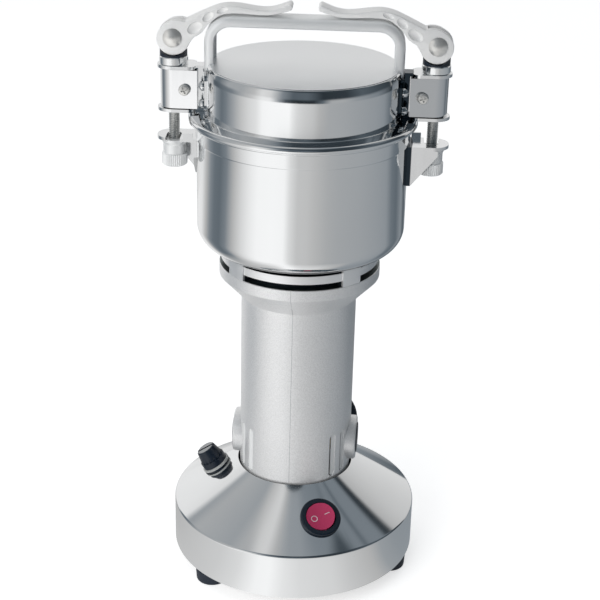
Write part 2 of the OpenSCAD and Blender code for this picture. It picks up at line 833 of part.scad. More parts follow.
fuse_angle = 180.3;
fuse_hole_r = 6;
fuse_base_r = 7.9;
fuse_base_h = 0.6;
fuse_ring_r = 8.3;
fuse_ring_h = 1.3;
fuse_body_r = fuse_hole_r - snug * 5;
fuse_body_l = 15.5;
fuse_floor = 1.5;
fuse_bore_r = 4;
fuse_tube_r = 2.6;
fuse_l = 20;
fuse_cap_taper = 1.4;
fuse_grip_share = 0.66;
fuse_ribs = 18;
fuse_rib_depth = 0.5;
fuse_nut_across = 17;
fuse_nut_t = 3;
fuse_nut_drop = 0.5;
fuse_stem_l = 6;
fuse_base_drop = 1.5;

module fuse_frame() { on_cone(fuse_r, fuse_angle) children(); }

module fuse_holder() color("black") {
    difference() {
        union() {
            difference() {
                fuse_frame() translate([0, 0, -fuse_base_drop])
                    cylinder(r = fuse_base_r, h = fuse_base_h + fuse_base_drop);
                base_solid();
            }
            fuse_frame() {
                translate([0, 0, -fuse_body_l])
                    cylinder(r = fuse_body_r, h = fuse_body_l + fuse_base_h + fuse_ring_h);
            }
        }
        fuse_frame() translate([0, 0, fuse_floor - fuse_body_l])
            cylinder(r = fuse_bore_r, h = fuse_body_l + fuse_base_h + fuse_ring_h);
    }
}

module fuse_washer() color("lightgray") fuse_frame() {
    translate([0, 0, fuse_base_h]) ring(fuse_ring_r, fuse_body_r + snug, fuse_ring_h);
}

module fuse_nut() color("dimgray") fuse_frame() {
    translate([0, 0, -shell_t - fuse_nut_drop - fuse_nut_t]) difference() {
        cylinder(d = fuse_nut_across, h = fuse_nut_t, $fn = 6);
        translate([0, 0, -overrun]) cylinder(r = fuse_hole_r, h = fuse_nut_t + 2 * overrun);
    }
}

module fuse() color("white") fuse_frame() {
    translate([0, 0, fuse_floor - fuse_body_l]) cylinder(r = fuse_tube_r, h = fuse_l);
}

module fuse_cap() color("black") fuse_frame() {
    z0 = fuse_base_h + fuse_ring_h + running;
    r = fuse_cap_d / 2;
    collar_h = fuse_cap_h * (1 - fuse_grip_share);
    grip_h = fuse_cap_h * fuse_grip_share;
    difference() {
        union() {
            translate([0, 0, z0]) cylinder(r = r + fuse_rib_depth, h = collar_h);
            translate([0, 0, z0 + collar_h - snug]) intersection() {
                linear_extrude(grip_h + snug) polygon([for (i = [0:4 * fuse_ribs - 1])
                    let (a = i * 90 / fuse_ribs, q = i % 4 < 2 ? r : r - fuse_rib_depth)
                    [q * cos(a), q * sin(a)]]);
                rotate_extrude() polygon([
                    [0, 0], [r, 0], [r - fuse_cap_taper, grip_h - fuse_rib_depth],
                    [r - fuse_cap_taper - fuse_rib_depth, grip_h + snug], [0, grip_h + snug]
                ]);
            }
            translate([0, 0, z0 - fuse_stem_l])
                cylinder(r = fuse_bore_r - running, h = fuse_stem_l + collar_h / 2);
        }
        translate([0, 0, z0 - fuse_stem_l - overrun])
            cylinder(r = fuse_tube_r + running,
                h = fuse_floor - fuse_body_l + fuse_l + clear - z0 + fuse_stem_l + overrun);
        translate([0, 0, z0 + fuse_cap_h]) cube([fuse_cap_d, cap_slot_w, 2 * cap_slot_depth], center = true);
    }
}

// Cup

bush_r = 11;
bush_h = 5;
bush_flange_r = 15;
bush_flange_h = 1.6;

module cup() color("silver") {
    difference() {
        union() {
            cup_body(0);
            translate([0, 0, z_rim]) rotate_extrude() polygon(concat(
                [[cup_r - cup_wall, 0], [rim_r - rim_t / 2, 0]],
                arc([rim_r - rim_t / 2, rim_t / 2], rim_t / 2, -90, 90),
                [[cup_r - cup_wall, rim_t]]
            ));
        }
        difference() {
            rotate_extrude() polygon(concat(
                [[0, z_cup + cup_wall]],
                arc([cup_r - cup_corner_r, z_cup + cup_corner_r], cup_corner_r - cup_wall, -90, 0,
                    2 * arc_steps),
                [[cup_r - cup_wall, z_step], [cup_r + collar_step - cup_wall, z_step + collar_step],
                 [cup_r + collar_step - cup_wall, z_rim_top + overrun], [0, z_rim_top + overrun]]
            ));
        }
        translate([0, 0, z_cup - overrun]) cylinder(r = bush_r + snug, h = cup_wall + 2 * overrun);
        around(cup_screw_count, cup_screw_ring_r, post_yaw + column_yaw)
            translate([0, 0, z_cup - overrun]) cylinder(d = screw_d + clear, h = cup_wall + 2 * overrun);
    }
}

module cup_screws() color("gainsboro") {
    around(cup_screw_count, cup_screw_ring_r, post_yaw + column_yaw)
        translate([0, 0, z_cup + cup_wall])
            pan_screw(screw_d - 2 * snug, screw_head_d, screw_head_h, cup_wall + pad_h + band_h - clear);
}

module shaft_bush() color("darkkhaki") {
    difference() {
        union() {
            translate([0, 0, z_cup - pad_h + clear]) cylinder(r = bush_r, h = pad_h + cup_wall + bush_h);
            translate([0, 0, z_cup + cup_wall]) cylinder(r = bush_flange_r, h = bush_flange_h);
        }
        translate([0, 0, z_cup - pad_h - overrun])
            cylinder(r = shaft_top_r + running, h = pad_h + cup_wall + bush_h + 3 * overrun);
    }
}

// Forks welded to the cup. Each is open on the side that its rod leaves by when the lid is turned

fork_w = 18;
fork_web_h = 21;
fork_web_t = 1.6;
fork_gusset_t = 1.6;
fork_round = 3;
fork_end_r = 8.5;
fork_tab_h = 3;
fork_tab_l = 5;
nut_gap = 0.3;
fork_drop = 2.8;
z_fork = z_step - fork_drop;
fork_web_share = 0.42;
gusset_reach_share = 0.74;

module fork() {
    root = cup_r - fork_web_t;
    web_r = cup_r + fork_web_t;
    half = fork_w / 2;
    difference() {
        union() {
            translate([0, 0, z_fork]) linear_extrude(fork_t) {
                translate([root, -half]) square([fork_reach - root - fork_end_r, fork_w]);
                translate([root, fork_end_r - half])
                    square([fork_reach - root, fork_w - 2 * fork_end_r]);
                for (s = [-1, 1]) translate([fork_reach - fork_end_r, s * (half - fork_end_r)])
                    circle(r = fork_end_r);
            }
            intersection() {
                translate([0, 0, z_fork - fork_web_h]) cylinder(r = web_r, h = fork_web_h + fork_t);
                translate([root - overrun, 0, z_fork - fork_web_h]) rotate([90, 0, 90])
                    linear_extrude(fork_reach) polygon([
                        [-half, fork_web_h + fork_t], [half, fork_web_h + fork_t],
                        [half, fork_web_h * 0.6], [-half * fork_web_share, 0],
                        [-half, fork_web_h * 0.12]
                    ]);
            }
            translate([0, fork_gusset_t - half, z_fork]) rotate([90, 0, 0]) linear_extrude(fork_gusset_t)
                polygon([
                    [root, snug], [root + (fork_reach - root) * gusset_reach_share, snug],
                    [root + (fork_reach - root) * gusset_reach_share, -fork_round],
                    [web_r, -fork_web_h * 0.94], [root, -fork_web_h * 0.94]
                ]);
            translate([web_r, half - fork_gusset_t, z_fork])
                cube([fork_tab_l, fork_gusset_t, fork_t + fork_tab_h]);
        }
        translate([0, 0, z_fork - fork_web_h - overrun])
            cylinder(r = cup_r + snug, h = fork_web_h + fork_t + fork_tab_h + 2 * overrun);
        translate([rod_x, 0, z_fork - overrun]) cylinder(d = fork_slot, h = fork_t + 2 * overrun);
        translate([rod_x - fork_slot / 2, 0, z_fork - overrun])
            cube([fork_slot, fork_w, fork_t + 2 * overrun]);
    }
}

module fork_right() color("silver") fork();
module fork_left() color("silver") rotate([0, 0, 180]) fork();

// Blades. The tips of the lower one turn up and those of the upper one turn down

tip_share = 0.24;
tip_angle = 24;
tip_cut = 35;

module blade(up) {
    half = blade_span / 2;
    flat_l = half * (1 - tip_share);
    tip_z = up * (half - flat_l) * sin(tip_angle);
    difference() {
        rotate([90, 0, 0]) linear_extrude(blade_w, center = true) polygon([
            [-half, tip_z], [-flat_l, 0], [flat_l, 0], [half, tip_z],
            [half, tip_z + blade_t], [flat_l, blade_t], [-flat_l, blade_t], [-half, tip_z + blade_t]
        ]);
        for (a = [0, 180]) rotate([0, 0, a]) translate([flat_l, blade_w / 2, 0])
            rotate([0, 0, -tip_cut]) translate([0, 0, -half / 2]) cube([half, blade_w, half]);
        translate([0, 0, -overrun]) cylinder(r = blade_bore_r + snug, h = blade_t + 2 * overrun);
    }
}

module lower_blade() color("gainsboro") translate([0, 0, z_blade]) blade(1);

module blade_spacer() color("silver") {
    translate([0, 0, z_blade + blade_t]) difference() {
        cylinder(d = spacer_d, h = spacer_h);
        translate([0, 0, -overrun]) cylinder(r = blade_bore_r + snug, h = spacer_h + 2 * overrun);
    }
}

module upper_blade() color("gainsboro")
    translate([0, 0, z_blade + blade_t + spacer_h]) rotate([0, 0, 90]) blade(-1);

module blade_nut() color("silver") {
    translate([0, 0, z_blade + 2 * blade_t + spacer_h]) difference() {
        union() {
            cylinder(d = spacer_d, h = blade_t);
            translate([0, 0, blade_t]) cylinder(d = blade_nut_across, h = blade_nut_h - blade_t, $fn = 6);
        }
        translate([0, 0, -overrun]) cylinder(r = blade_bore_r + snug, h = blade_nut_h + 2 * overrun);
    }
}

// Lid

flange_t = 0.9;
flange_gap = 0.7;
flange_r = rim_r + flange_gap + flange_t;
flange_lip = 1.2;
flange_round = 2.2;
flange_rise = 2;
lid_fillet_r = 0.8;
disc_edge = 1.6;
disc_step = 0.3;

// Outline of the lid's outer surface from the flange's edge to the top's centre
function lid_line() = concat(
    [[flange_r - flange_t, z_seat], [flange_r - flange_t, z_seat - flange_lip]],
    [[flange_r, z_seat - flange_lip]],
    arc([flange_r - flange_round, z_seat + flange_t - flange_round / 2], flange_round, 0, 75),
    arc([lid_r + lid_fillet_r, z_seat + flange_rise + lid_fillet_r], lid_fillet_r, 260, 180),
    arc([lid_r - lid_shoulder_r, z_lid_top - disc_step - lid_shoulder_r], lid_shoulder_r, 0, 90),
    [[lid_r - lid_shoulder_r - disc_edge * 0.2, z_lid_top - disc_step],
     [lid_r - lid_shoulder_r - disc_edge * 0.2 - disc_step, z_lid_top], [0, z_lid_top]]
);

module lid_solid() { rotate_extrude() polygon(concat([[0, z_seat]], lid_line())); }

module lid_shell() color("silver") {
    r = lid_r - lid_t;
    difference() {
        lid_solid();
        rotate_extrude() polygon(concat(
            [[0, z_seat - overrun], [r, z_seat - overrun]],
            arc([lid_r - lid_shoulder_r, z_lid_top - disc_step - lid_shoulder_r],
                lid_shoulder_r - lid_t, 0, 90),
            [[0, z_lid_top - disc_step - lid_t]]
        ));
        rivet_holes();
    }
}

seal_in = 1.0;
seal_skirt_h = 4;
seal_skirt_t = 1.6;

module lid_seal() color("whitesmoke") {
    skirt_r = cup_r + collar_step - cup_wall - 2 * seal_gap - clear / 3;
    translate([0, 0, z_rim_top + seal_gap]) ring(rim_r - seal_in, lid_r - lid_t, seal_t);
    translate([0, 0, z_rim_top + seal_gap - seal_skirt_h])
        ring(skirt_r, skirt_r - seal_skirt_t, seal_skirt_h + seal_t);
}

// Cross-section of the handle strap: a channel with rounded outer edges, its back at x = 0
handle_round = 5;

module handle_section() {
    module channel(t) {
        r = handle_round - t;
        w = handle_w - 2 * t;
        translate([t, 0]) {
            translate([r, -w / 2]) square([handle_depth - t - r + t * 2, w]);
            translate([0, -w / 2 + r]) square([handle_depth, w - 2 * r]);
            for (s = [-1, 1]) translate([r, s * (w / 2 - r)]) circle(r = r);
        }
    }
    difference() {
        intersection() {
            channel(0);
            translate([0, -handle_w / 2]) square([handle_depth, handle_w]);
        }
        channel(handle_t);
    }
}

// The section stands in the XZ plane with its back outwards
module handle() color("gainsboro") {
    leg_x = handle_span / 2;
    leg_foot = z_lid_top - lid_shoulder_r;
    leg_l = z_handle - handle_corner_r - leg_foot;
    difference() {
        union() {
            for (s = [0, 1]) mirror([s, 0, 0]) {
                translate([leg_x, 0, leg_foot]) linear_extrude(leg_l)
                    mirror([1, 0, 0]) handle_section();
                translate([leg_x - handle_corner_r, 0, z_handle - handle_corner_r]) rotate([90, 0, 0])
                    rotate_extrude(angle = 90) translate([handle_corner_r, 0])
                        mirror([1, 0, 0]) handle_section();
            }
            translate([-leg_x + handle_corner_r, 0, z_handle]) rotate([0, 90, 0])
                linear_extrude(2 * (leg_x - handle_corner_r)) handle_section();
        }
        lid_solid();
    }
}

// Clamp brackets on the lid

ring_bevel = 0.4;
bracket_rise = 1.8;
box_gap = 0.35;
z_bracket = z_seat + bracket_rise;
z_box = z_bracket + bracket_t + box_gap;
box_h = bracket_h - 2 * bracket_t - 2 * box_gap;
z_ring_seat = z_bracket + bracket_h;
z_cam_seat = z_ring_seat + seat_ring_h;
cam_gap = 0.4;
seat_floor = 0.75;
z_pin = z_cam_seat + seat_floor + cam_gap + cam_r;
saddle_t = 1.2;
saddle_h = 21;
saddle_w = 26;
saddle_round = 4;
bracket_w = 16;
bracket_reach = rod_x + bracket_w / 2 + 0.6 * box_t / 1.2;
bracket_neck_w = 8;
bracket_tail = 12;
bracket_inner_x = rod_x - bracket_tail;
box_tail = 13;
box_inner_x = rod_x - box_tail;
rod_slack = 0.25;
rivet_d = 3;
rivet_head_d = 5.4;
rivet_sit = 0.1;
rivet_y = 9.4;
rivet_z = [6, 15.5];
box_screw_in = 6.3;
box_screw_x = rod_x - box_screw_in;
box_screw_head_d = 6;
box_screw_head_h = 2;

module plate_outline() {
    r = bracket_w / 2;
    translate([bracket_reach - r, 0]) circle(r = r);
    translate([bracket_inner_x + saddle_round, -r]) square([bracket_reach - r - bracket_inner_x - saddle_round, 2 * r]);
    translate([bracket_inner_x, saddle_round - r]) square([saddle_round, 2 * (r - saddle_round)]);
    for (s = [-1, 1]) translate([bracket_inner_x + saddle_round, s * (r - saddle_round)])
        circle(r = saddle_round);
    translate([lid_r + saddle_t / 2, -bracket_neck_w / 2])
        square([bracket_inner_x - lid_r + saddle_round, bracket_neck_w]);
}

module rivet_axes() {
    for (s = [-1, 1], h = rivet_z) rotate([0, 0, s * asin(rivet_y / lid_r)])
        translate([0, 0, z_bracket + h]) rotate([0, 90, 0]) children();
}

module rivet_holes() {
    for (side = [0, 1]) mirror([side, 0, 0]) rivet_axes()
        translate([0, 0, lid_r / 2]) cylinder(d = rivet_d, h = lid_r);
}

module bracket() {
    difference() {
        union() {
            intersection() {
                translate([0, 0, z_bracket]) ring(lid_r + saddle_t, lid_r + snug, bracket_h);
                translate([lid_r / 2, 0, z_bracket + bracket_h / 2]) rotate([0, 90, 0])
                    linear_extrude(lid_r) {
                        square([saddle_h, saddle_w - 2 * saddle_round], center = true);
                        square([saddle_h - 2 * saddle_round, saddle_w], center = true);
                        for (a = [-1, 1], b = [-1, 1])
                            translate([a * (saddle_h / 2 - saddle_round), b * (saddle_w / 2 - saddle_round)])
                                circle(r = saddle_round);
                        square([bracket_h, bracket_neck_w], center = true);
                    }
            }
            for (z = [z_bracket, z_bracket + bracket_h - bracket_t]) translate([0, 0, z])
                linear_extrude(bracket_t) plate_outline();
            translate([lid_r + saddle_t / 2, -bracket_neck_w / 2, z_bracket])
                cube([box_inner_x - box_gap - lid_r - saddle_t / 2, bracket_neck_w, bracket_h]);
        }
        translate([0, 0, z_bracket - overrun]) cylinder(r = lid_r + snug, h = bracket_h + 2 * overrun);
        translate([0, 0, 5 * snug]) lid_solid();
        translate([0, -handle_w / 2 - snug, z_lid_top - lid_shoulder_r - snug])
            cube([handle_span / 2 + snug, handle_w + 2 * snug, handle_h]);
        translate([rod_x, 0, z_bracket - overrun])
            cylinder(r = rod_d / 2 + rod_slack, h = bracket_h + 2 * overrun);
        rivet_holes();
    }
}

module bracket_right() color("gainsboro") bracket();
module bracket_left() color("gainsboro") on_left() bracket();

module bracket_rivets() color("silver") both_sides() rivet_axes() {
    translate([0, 0, lid_r - lid_t]) cylinder(d = rivet_d - 2 * snug, h = lid_t + saddle_t);
    translate([0, 0, lid_r + saddle_t + rivet_sit]) rotate_extrude() polygon(concat(
        [[0, -rivet_sit / 2], [rivet_head_d / 2, 0]],
        arc([0, 0], rivet_head_d / 2, 0, 90)
    ));
}

// Outline of the clamp box round the rod, moved inwards by inset
module box_outline(inset) {
    r = box_w / 2 - inset;
    translate([rod_x, 0]) circle(r = r);
    translate([box_inner_x + inset, -r]) square([rod_x - box_inner_x - inset, 2 * r]);
}

module clamp_box() {
    difference() {
        translate([0, 0, z_box]) linear_extrude(box_h) box_outline(0);
        translate([0, 0, z_box - overrun]) linear_extrude(box_h + 2 * overrun) box_outline(box_t);
        translate([box_screw_x, 0, z_box + box_h / 2]) rotate([90, 0, 0])
            cylinder(d = small_screw_d, h = 2 * box_w, center = true);
    }
}

module clamp_box_right() color("gainsboro") clamp_box();
module clamp_box_left() color("gainsboro") on_left() clamp_box();

module box_screws() color("gainsboro") both_sides() {
    translate([box_screw_x, -box_w / 2, z_box + box_h / 2]) rotate([90, 0, 0])
        pan_screw(small_screw_d - 2 * snug, box_screw_head_d, box_screw_head_h, box_w + 2 * box_t);
}

module seat_rings() color("silver") both_sides() {
    translate([rod_x, 0, z_ring_seat]) rotate_extrude() {
        r = seat_ring_d / 2;
        translate([rod_d / 2 + rod_slack, 0]) square([r - ring_bevel - rod_d / 2 - rod_slack, seat_ring_h]);
        polygon([
            [r - 2 * ring_bevel, 0], [r - ring_bevel, 0], [r, ring_bevel],
            [r, seat_ring_h - ring_bevel], [r - ring_bevel, seat_ring_h], [r - 2 * ring_bevel, seat_ring_h]
        ]);
    }
}

// The cam's saddle is a little wider than the cam, because the rod sinks as the lever turns
saddle_play = 1.2;
horn_h = 5.2;

module cam_seats() color("black") both_sides() {
    difference() {
        translate([rod_x, 0, z_cam_seat]) cylinder(d = seat_ring_d - 2 * ring_bevel, h = horn_h);
        translate([rod_x, 0, z_pin + saddle_play]) rotate([90, 0, 0])
            cylinder(r = cam_r + cam_gap + saddle_play, h = 2 * seat_ring_d, center = true);
        translate([rod_x, 0, z_cam_seat - overrun])
            cylinder(r = rod_d / 2 + rod_slack, h = horn_h + 2 * overrun);
    }
}

spring_r = 4.4;

module clamp_springs() color("silver") both_sides() {
    translate([rod_x, 0, z_box + box_gap]) ring(spring_r, rod_d / 2 + rod_slack, box_h - 2 * box_gap);
}

// Rods, levers and nuts

eye_r = 5;
nut_top = z_fork - nut_gap;
rod_below = 0.6;
z_rod = nut_top - nut_h - rod_below;

module rod() {
    difference() {
        union() {
            translate([rod_x, 0, z_rod]) cylinder(d = rod_d, h = z_pin - z_rod - pin_d / 2);
            translate([rod_x, 0, z_pin]) rotate([90, 0, 0]) cylinder(r = eye_r, h = eye_t, center = true);
        }
        translate([rod_x, 0, z_pin]) rotate([90, 0, 0])
            cylinder(r = pin_d / 2 + running, h = 2 * eye_t, center = true);
    }
}

module rod_right() color("darkgray") rod();
module rod_left() color("darkgray") on_left() rod();

// Key points of the lever's edges, as shares of its length: inwards, then up
upper_edge_share = [
    [0.105, 0.137], [0.226, 0.197], [0.363, 0.258], [0.46, 0.279], [0.556, 0.276],
    [0.653, 0.262], [0.766, 0.252], [0.863, 0.267], [0.95, 0.3]
];
lower_edge_share = [
    [0.96, 0.252], [0.855, 0.221], [0.769, 0.211], [0.663, 0.215], [0.556, 0.22],
    [0.448, 0.213], [0.385, 0.189], [0.3, 0.119], [0.243, 0.047], [0.177, 0.006]
];
tip_centre_share = [0.972, 0.283];
tip_r = 1.6;
cam_steps = 40;
cam_start = -70;
cam_end = 208;
cam_dwell = 20;
cam_join_share = 0.164;
// Pockets in the lever's cheeks: centre inwards and up, long and short axis, then the tilt
pocket_share = [
    [0.19, 0.09, 0.14, 0.092, 35], [0.302, 0.184, 0.112, 0.07, 42], [0.42, 0.242, 0.1, 0.048, 22]
];
pocket_depth = 0.7;
fork_inner = 5.6;
fork_gap = 0.3;

// Distance from the pin to the cam's surface, at angle b from straight down towards the outside
function cam_radius(b) =
    b < 0 ? cam_r
    : b < lever_open ? cam_r - cam_lift * b / lever_open
    : b < lever_open + cam_dwell ? cam_r - cam_lift
    : cam_r - cam_lift + (lever_l * cam_join_share - cam_r + cam_lift)
        * pow((b - lever_open - cam_dwell) / (cam_end - lever_open - cam_dwell), 1.5);

module lever_outline() {
    polygon(concat(
        [for (i = [0:cam_steps]) let (b = cam_start + (cam_end - cam_start) * i / cam_steps)
            [cam_radius(b) * sin(b), -cam_radius(b) * cos(b)]],
        through([for (p = upper_edge_share) [-p[0], p[1]] * lever_l]),
        [for (a = [100:-20:-60])
            [-tip_centre_share[0] * lever_l - tip_r * cos(a), tip_centre_share[1] * lever_l + tip_r * sin(a)]],
        through([for (p = lower_edge_share) [-p[0], p[1]] * lever_l])
    ));
}

// Slot between the cheeks, wide enough for the eye and for the rod below it
slot_w = max(eye_t, rod_d) + 2 * fork_gap;

module lever() {
    translate([rod_x, 0, z_pin]) difference() {
        rotate([90, 0, 0]) linear_extrude(lever_w, center = true) lever_outline();
        translate([-fork_inner, -slot_w / 2, -2 * cam_r]) cube([fork_inner + 2 * cam_r, slot_w, 4 * cam_r]);
        rotate([90, 0, 0]) cylinder(r = pin_d / 2 + snug, h = 2 * lever_w, center = true);
        for (p = pocket_share, s = [-1, 1])
            translate([-p[0] * lever_l, s * lever_w / 2, p[1] * lever_l]) rotate([90, -p[4], 0])
                obround(p[2] * lever_l, p[3] * lever_l, 2 * pocket_depth, $fn = 48);
    }
}

pin_head_r = 4.9;
pin_head_h = 2;
pin_head_edge = 0.5;
pin_play = 0.05;

module lever_pin() {
    half = lever_w / 2;
    ball_r = (pow(pin_head_r, 2) + pow(pin_head_h - pin_head_edge, 2)) / (2 * (pin_head_h - pin_head_edge));
    translate([rod_x, 0, z_pin]) {
        rotate([90, 0, 0]) cylinder(d = pin_d, h = lever_w + 2 * pin_play, center = true);
        for (s = [0, 180]) rotate([0, 0, s]) translate([0, -half - pin_play, 0]) rotate([90, 0, 0])
            rotate_extrude() polygon(concat(
                [[0, 0], [pin_head_r, 0]],
                arc([0, pin_head_h - ball_r], ball_r, 90 - asin(pin_head_r / ball_r), 90)
            ));
    }
}

module lever_right() color("gainsboro") lever();
module lever_left() color("gainsboro") on_left() lever();
module lever_pin_right() color("silver") lever_pin();
module lever_pin_left() color("silver") on_left() lever_pin();

nut_neck_share = 0.9;
knurl_share = 0.46;
knurl_depth = 0.35;
nut_bevel = 0.6;
nut_lip = 1;

module nut() {
    r = nut_d / 2;
    neck_r = r * nut_neck_share;
    knurl_h = nut_h * knurl_share;
    translate([rod_x, 0, nut_top - nut_h]) difference() {
        union() {
            intersection() {
                linear_extrude(knurl_h) polygon([for (i = [0:2 * knurl_count - 1])
                    let (a = i * 180 / knurl_count, q = i % 2 == 0 ? r : r - knurl_depth)
                    [q * cos(a), q * sin(a)]]);
                rotate_extrude() polygon([
                    [0, 0], [r - nut_bevel, 0], [r + nut_bevel, 2 * nut_bevel],
                    [r + nut_bevel, knurl_h - 2 * nut_bevel], [r - nut_bevel, knurl_h], [0, knurl_h]
                ]);
            }
            translate([0, 0, knurl_h - nut_lip]) rotate_extrude() polygon([
                [0, 0], [neck_r, 0], [neck_r, nut_h - knurl_h - 2 * nut_lip],
                [r, nut_h - knurl_h - nut_lip / 2], [r, nut_h - knurl_h + nut_lip],
                [0, nut_h - knurl_h + nut_lip]
            ]);
        }
        translate([0, 0, -overrun]) cylinder(r = rod_d / 2 + running, h = nut_h + 2 * overrun);
    }
}

module nut_right() color("gainsboro") nut();
module nut_left() color("gainsboro") on_left() nut();

base_shell();
bottom_plate();
feet();
foot_screws();
motor_column();
column_screws();
upper_shield();
shield_screws();
lower_bearing();
upper_bearing();
stator_core();
field_coils();
brush_tubes();
carbon_brushes();
brush_springs();
brush_caps();
cord_gland();
gland_nut();
switch_body();
rocker();
fuse_holder();
fuse_washer();
fuse_nut();
fuse();
fuse_cap();
cup();
cup_screws();
shaft_bush();
fork_left();
fork_right();
motor_shaft();
armature();
armature_windings();
commutator();
cooling_fan();
lower_blade();
blade_spacer();
upper_blade();
blade_nut();
lid_shell();
lid_seal();
handle();
bracket_left();
bracket_right();
bracket_rivets();
clamp_box_left();
clamp_box_right();
box_screws();
seat_rings();
cam_seats();
clamp_springs();
rod_left();
lever_left();
lever_pin_left();
nut_left();
rod_right();
lever_right();
lever_pin_right();
nut_right();
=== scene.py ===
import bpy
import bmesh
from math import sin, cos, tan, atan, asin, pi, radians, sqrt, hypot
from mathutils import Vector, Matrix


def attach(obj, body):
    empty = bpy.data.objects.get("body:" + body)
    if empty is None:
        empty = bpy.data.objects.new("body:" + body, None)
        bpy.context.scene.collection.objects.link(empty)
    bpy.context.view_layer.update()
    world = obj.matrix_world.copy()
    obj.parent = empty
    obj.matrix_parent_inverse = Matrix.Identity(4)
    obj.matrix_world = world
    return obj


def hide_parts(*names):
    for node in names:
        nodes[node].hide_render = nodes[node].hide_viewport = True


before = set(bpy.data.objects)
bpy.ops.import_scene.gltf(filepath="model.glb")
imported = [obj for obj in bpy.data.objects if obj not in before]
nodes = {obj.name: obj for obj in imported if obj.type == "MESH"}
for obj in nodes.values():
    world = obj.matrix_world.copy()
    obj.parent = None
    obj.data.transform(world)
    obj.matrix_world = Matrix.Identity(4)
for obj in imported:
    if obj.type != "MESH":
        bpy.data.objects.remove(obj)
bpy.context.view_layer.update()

# %% [markdown]
# # An electric grain mill, dressed in polished steel
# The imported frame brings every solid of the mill, already in place and tied to its moving body. This
# lesson gives them finishes, replaces the shells whose reflections must be smooth, and adds the fine
# things that a solid model leaves out: threads, screw recesses and the marks on the switch. Lengths
# are written in millimetres and multiplied by MM where Blender needs metres.

MM = 0.001

# %% [markdown]
# ## The camera
# The picture was taken from the front with a long lens that looks 24 degrees down, two degrees round
# to the right and rolled by a degree and a half. The three axes of the camera are written out from
# those angles, because a rotation matrix shows exactly where right, up and backwards point.

# %% Camera
view_turn = 2.3
pitch, roll, yaw = radians(23.95), radians(1.45), radians(0.056 - view_turn)
reach, eye_height = 751.7, 493.1
ahead = Vector((sin(yaw) * cos(pitch), cos(yaw) * cos(pitch), -sin(pitch)))
level_right = Vector((cos(yaw), -sin(yaw), 0))
level_up = level_right.cross(ahead)
cam_right = level_right * cos(roll) + level_up * sin(roll)
cam_up = -level_right * sin(roll) + level_up * cos(roll)

cam_data = bpy.data.cameras.new("camera")
cam_data.lens, cam_data.sensor_width = 88.45, 36
cam_data.clip_start, cam_data.clip_end = 0.05, 50
camera = bpy.data.objects.new("camera", cam_data)
bpy.context.scene.collection.objects.link(camera)
turn = Matrix((cam_right, cam_up, -ahead)).transposed().to_4x4()
spot = Vector((reach * sin(radians(view_turn)), -reach * cos(radians(view_turn)), eye_height))
camera.matrix_world = Matrix.Translation(spot * MM) @ turn
bpy.context.scene.camera = camera
print("camera at", [round(v, 3) for v in camera.location])

# %% [markdown]
# ## Small node helpers
# A material is a little network. These helpers add a node, set its sockets and link it, so that each
# finish below reads as a recipe.

# %% Node helpers
def new_material(name):
    mat = bpy.data.materials.new(name)
    mat.use_nodes = True
    mat.node_tree.nodes.clear()
    return mat, mat.node_tree


def add_node(tree, kind, inputs=None, **settings):
    node = tree.nodes.new(kind)
    for key, value in settings.items():
        setattr(node, key, value)
    for key, value in (inputs or {}).items():
        if isinstance(value, bpy.types.NodeSocket):
            tree.links.new(value, node.inputs[key])
        else:
            node.inputs[key].default_value = value
    return node


def math_node(tree, operation, a, b=0.0, clamp=False):
    return add_node(tree, "ShaderNodeMath", {0: a, 1: b}, operation=operation, use_clamp=clamp).outputs[0]


def ramp_node(tree, factor, stops, interpolation="LINEAR"):
    node = add_node(tree, "ShaderNodeValToRGB", {"Fac": factor})
    ramp = node.color_ramp
    ramp.interpolation = interpolation
    while len(ramp.elements) > 1:
        ramp.elements.remove(ramp.elements[0])
    for i, (place, value) in enumerate(stops):
        element = ramp.elements[0] if i == 0 else ramp.elements.new(place)
        element.position = place
        rgb = value if isinstance(value, (tuple, list)) else (value, value, value)
        element.color = (*rgb, 1)
    return node.outputs["Color"]


# %% [markdown]
# ## The studio
# Polished steel has no colour of its own. What we see on it is the room, so the room comes before any
# finish. Steel kitchenware is photographed in a tent: a big bright panel at the front left, greyer
# panels at the right, and dark slots between them that draw the form. The world below is that tent.
# It is a panorama made of five rings, each a row of panels around the mill: a low ring that upright
# walls mirror, a dark sill above it, a ring at eye height, a high ring with one bright panel above the
# camera, and a top ring that the cone of the base mirrors.

# %% Panels of the tent
def cool(value):
    # Dark parts of the tent are a little blue, as a dim room looks beside white panels
    dark = max(0.0, 1 - value / 0.5)
    return (value * (1 - 0.30 * dark), value * (1 - 0.06 * dark), value * (1 + 0.16 * dark))


def panels(rows):
    # rows are (degrees to the right of the camera, brightness) from -180 to 180
    return [(min(1, max(0, (angle + view_turn) / 360 + 0.5)), cool(value)) for angle, value in rows]


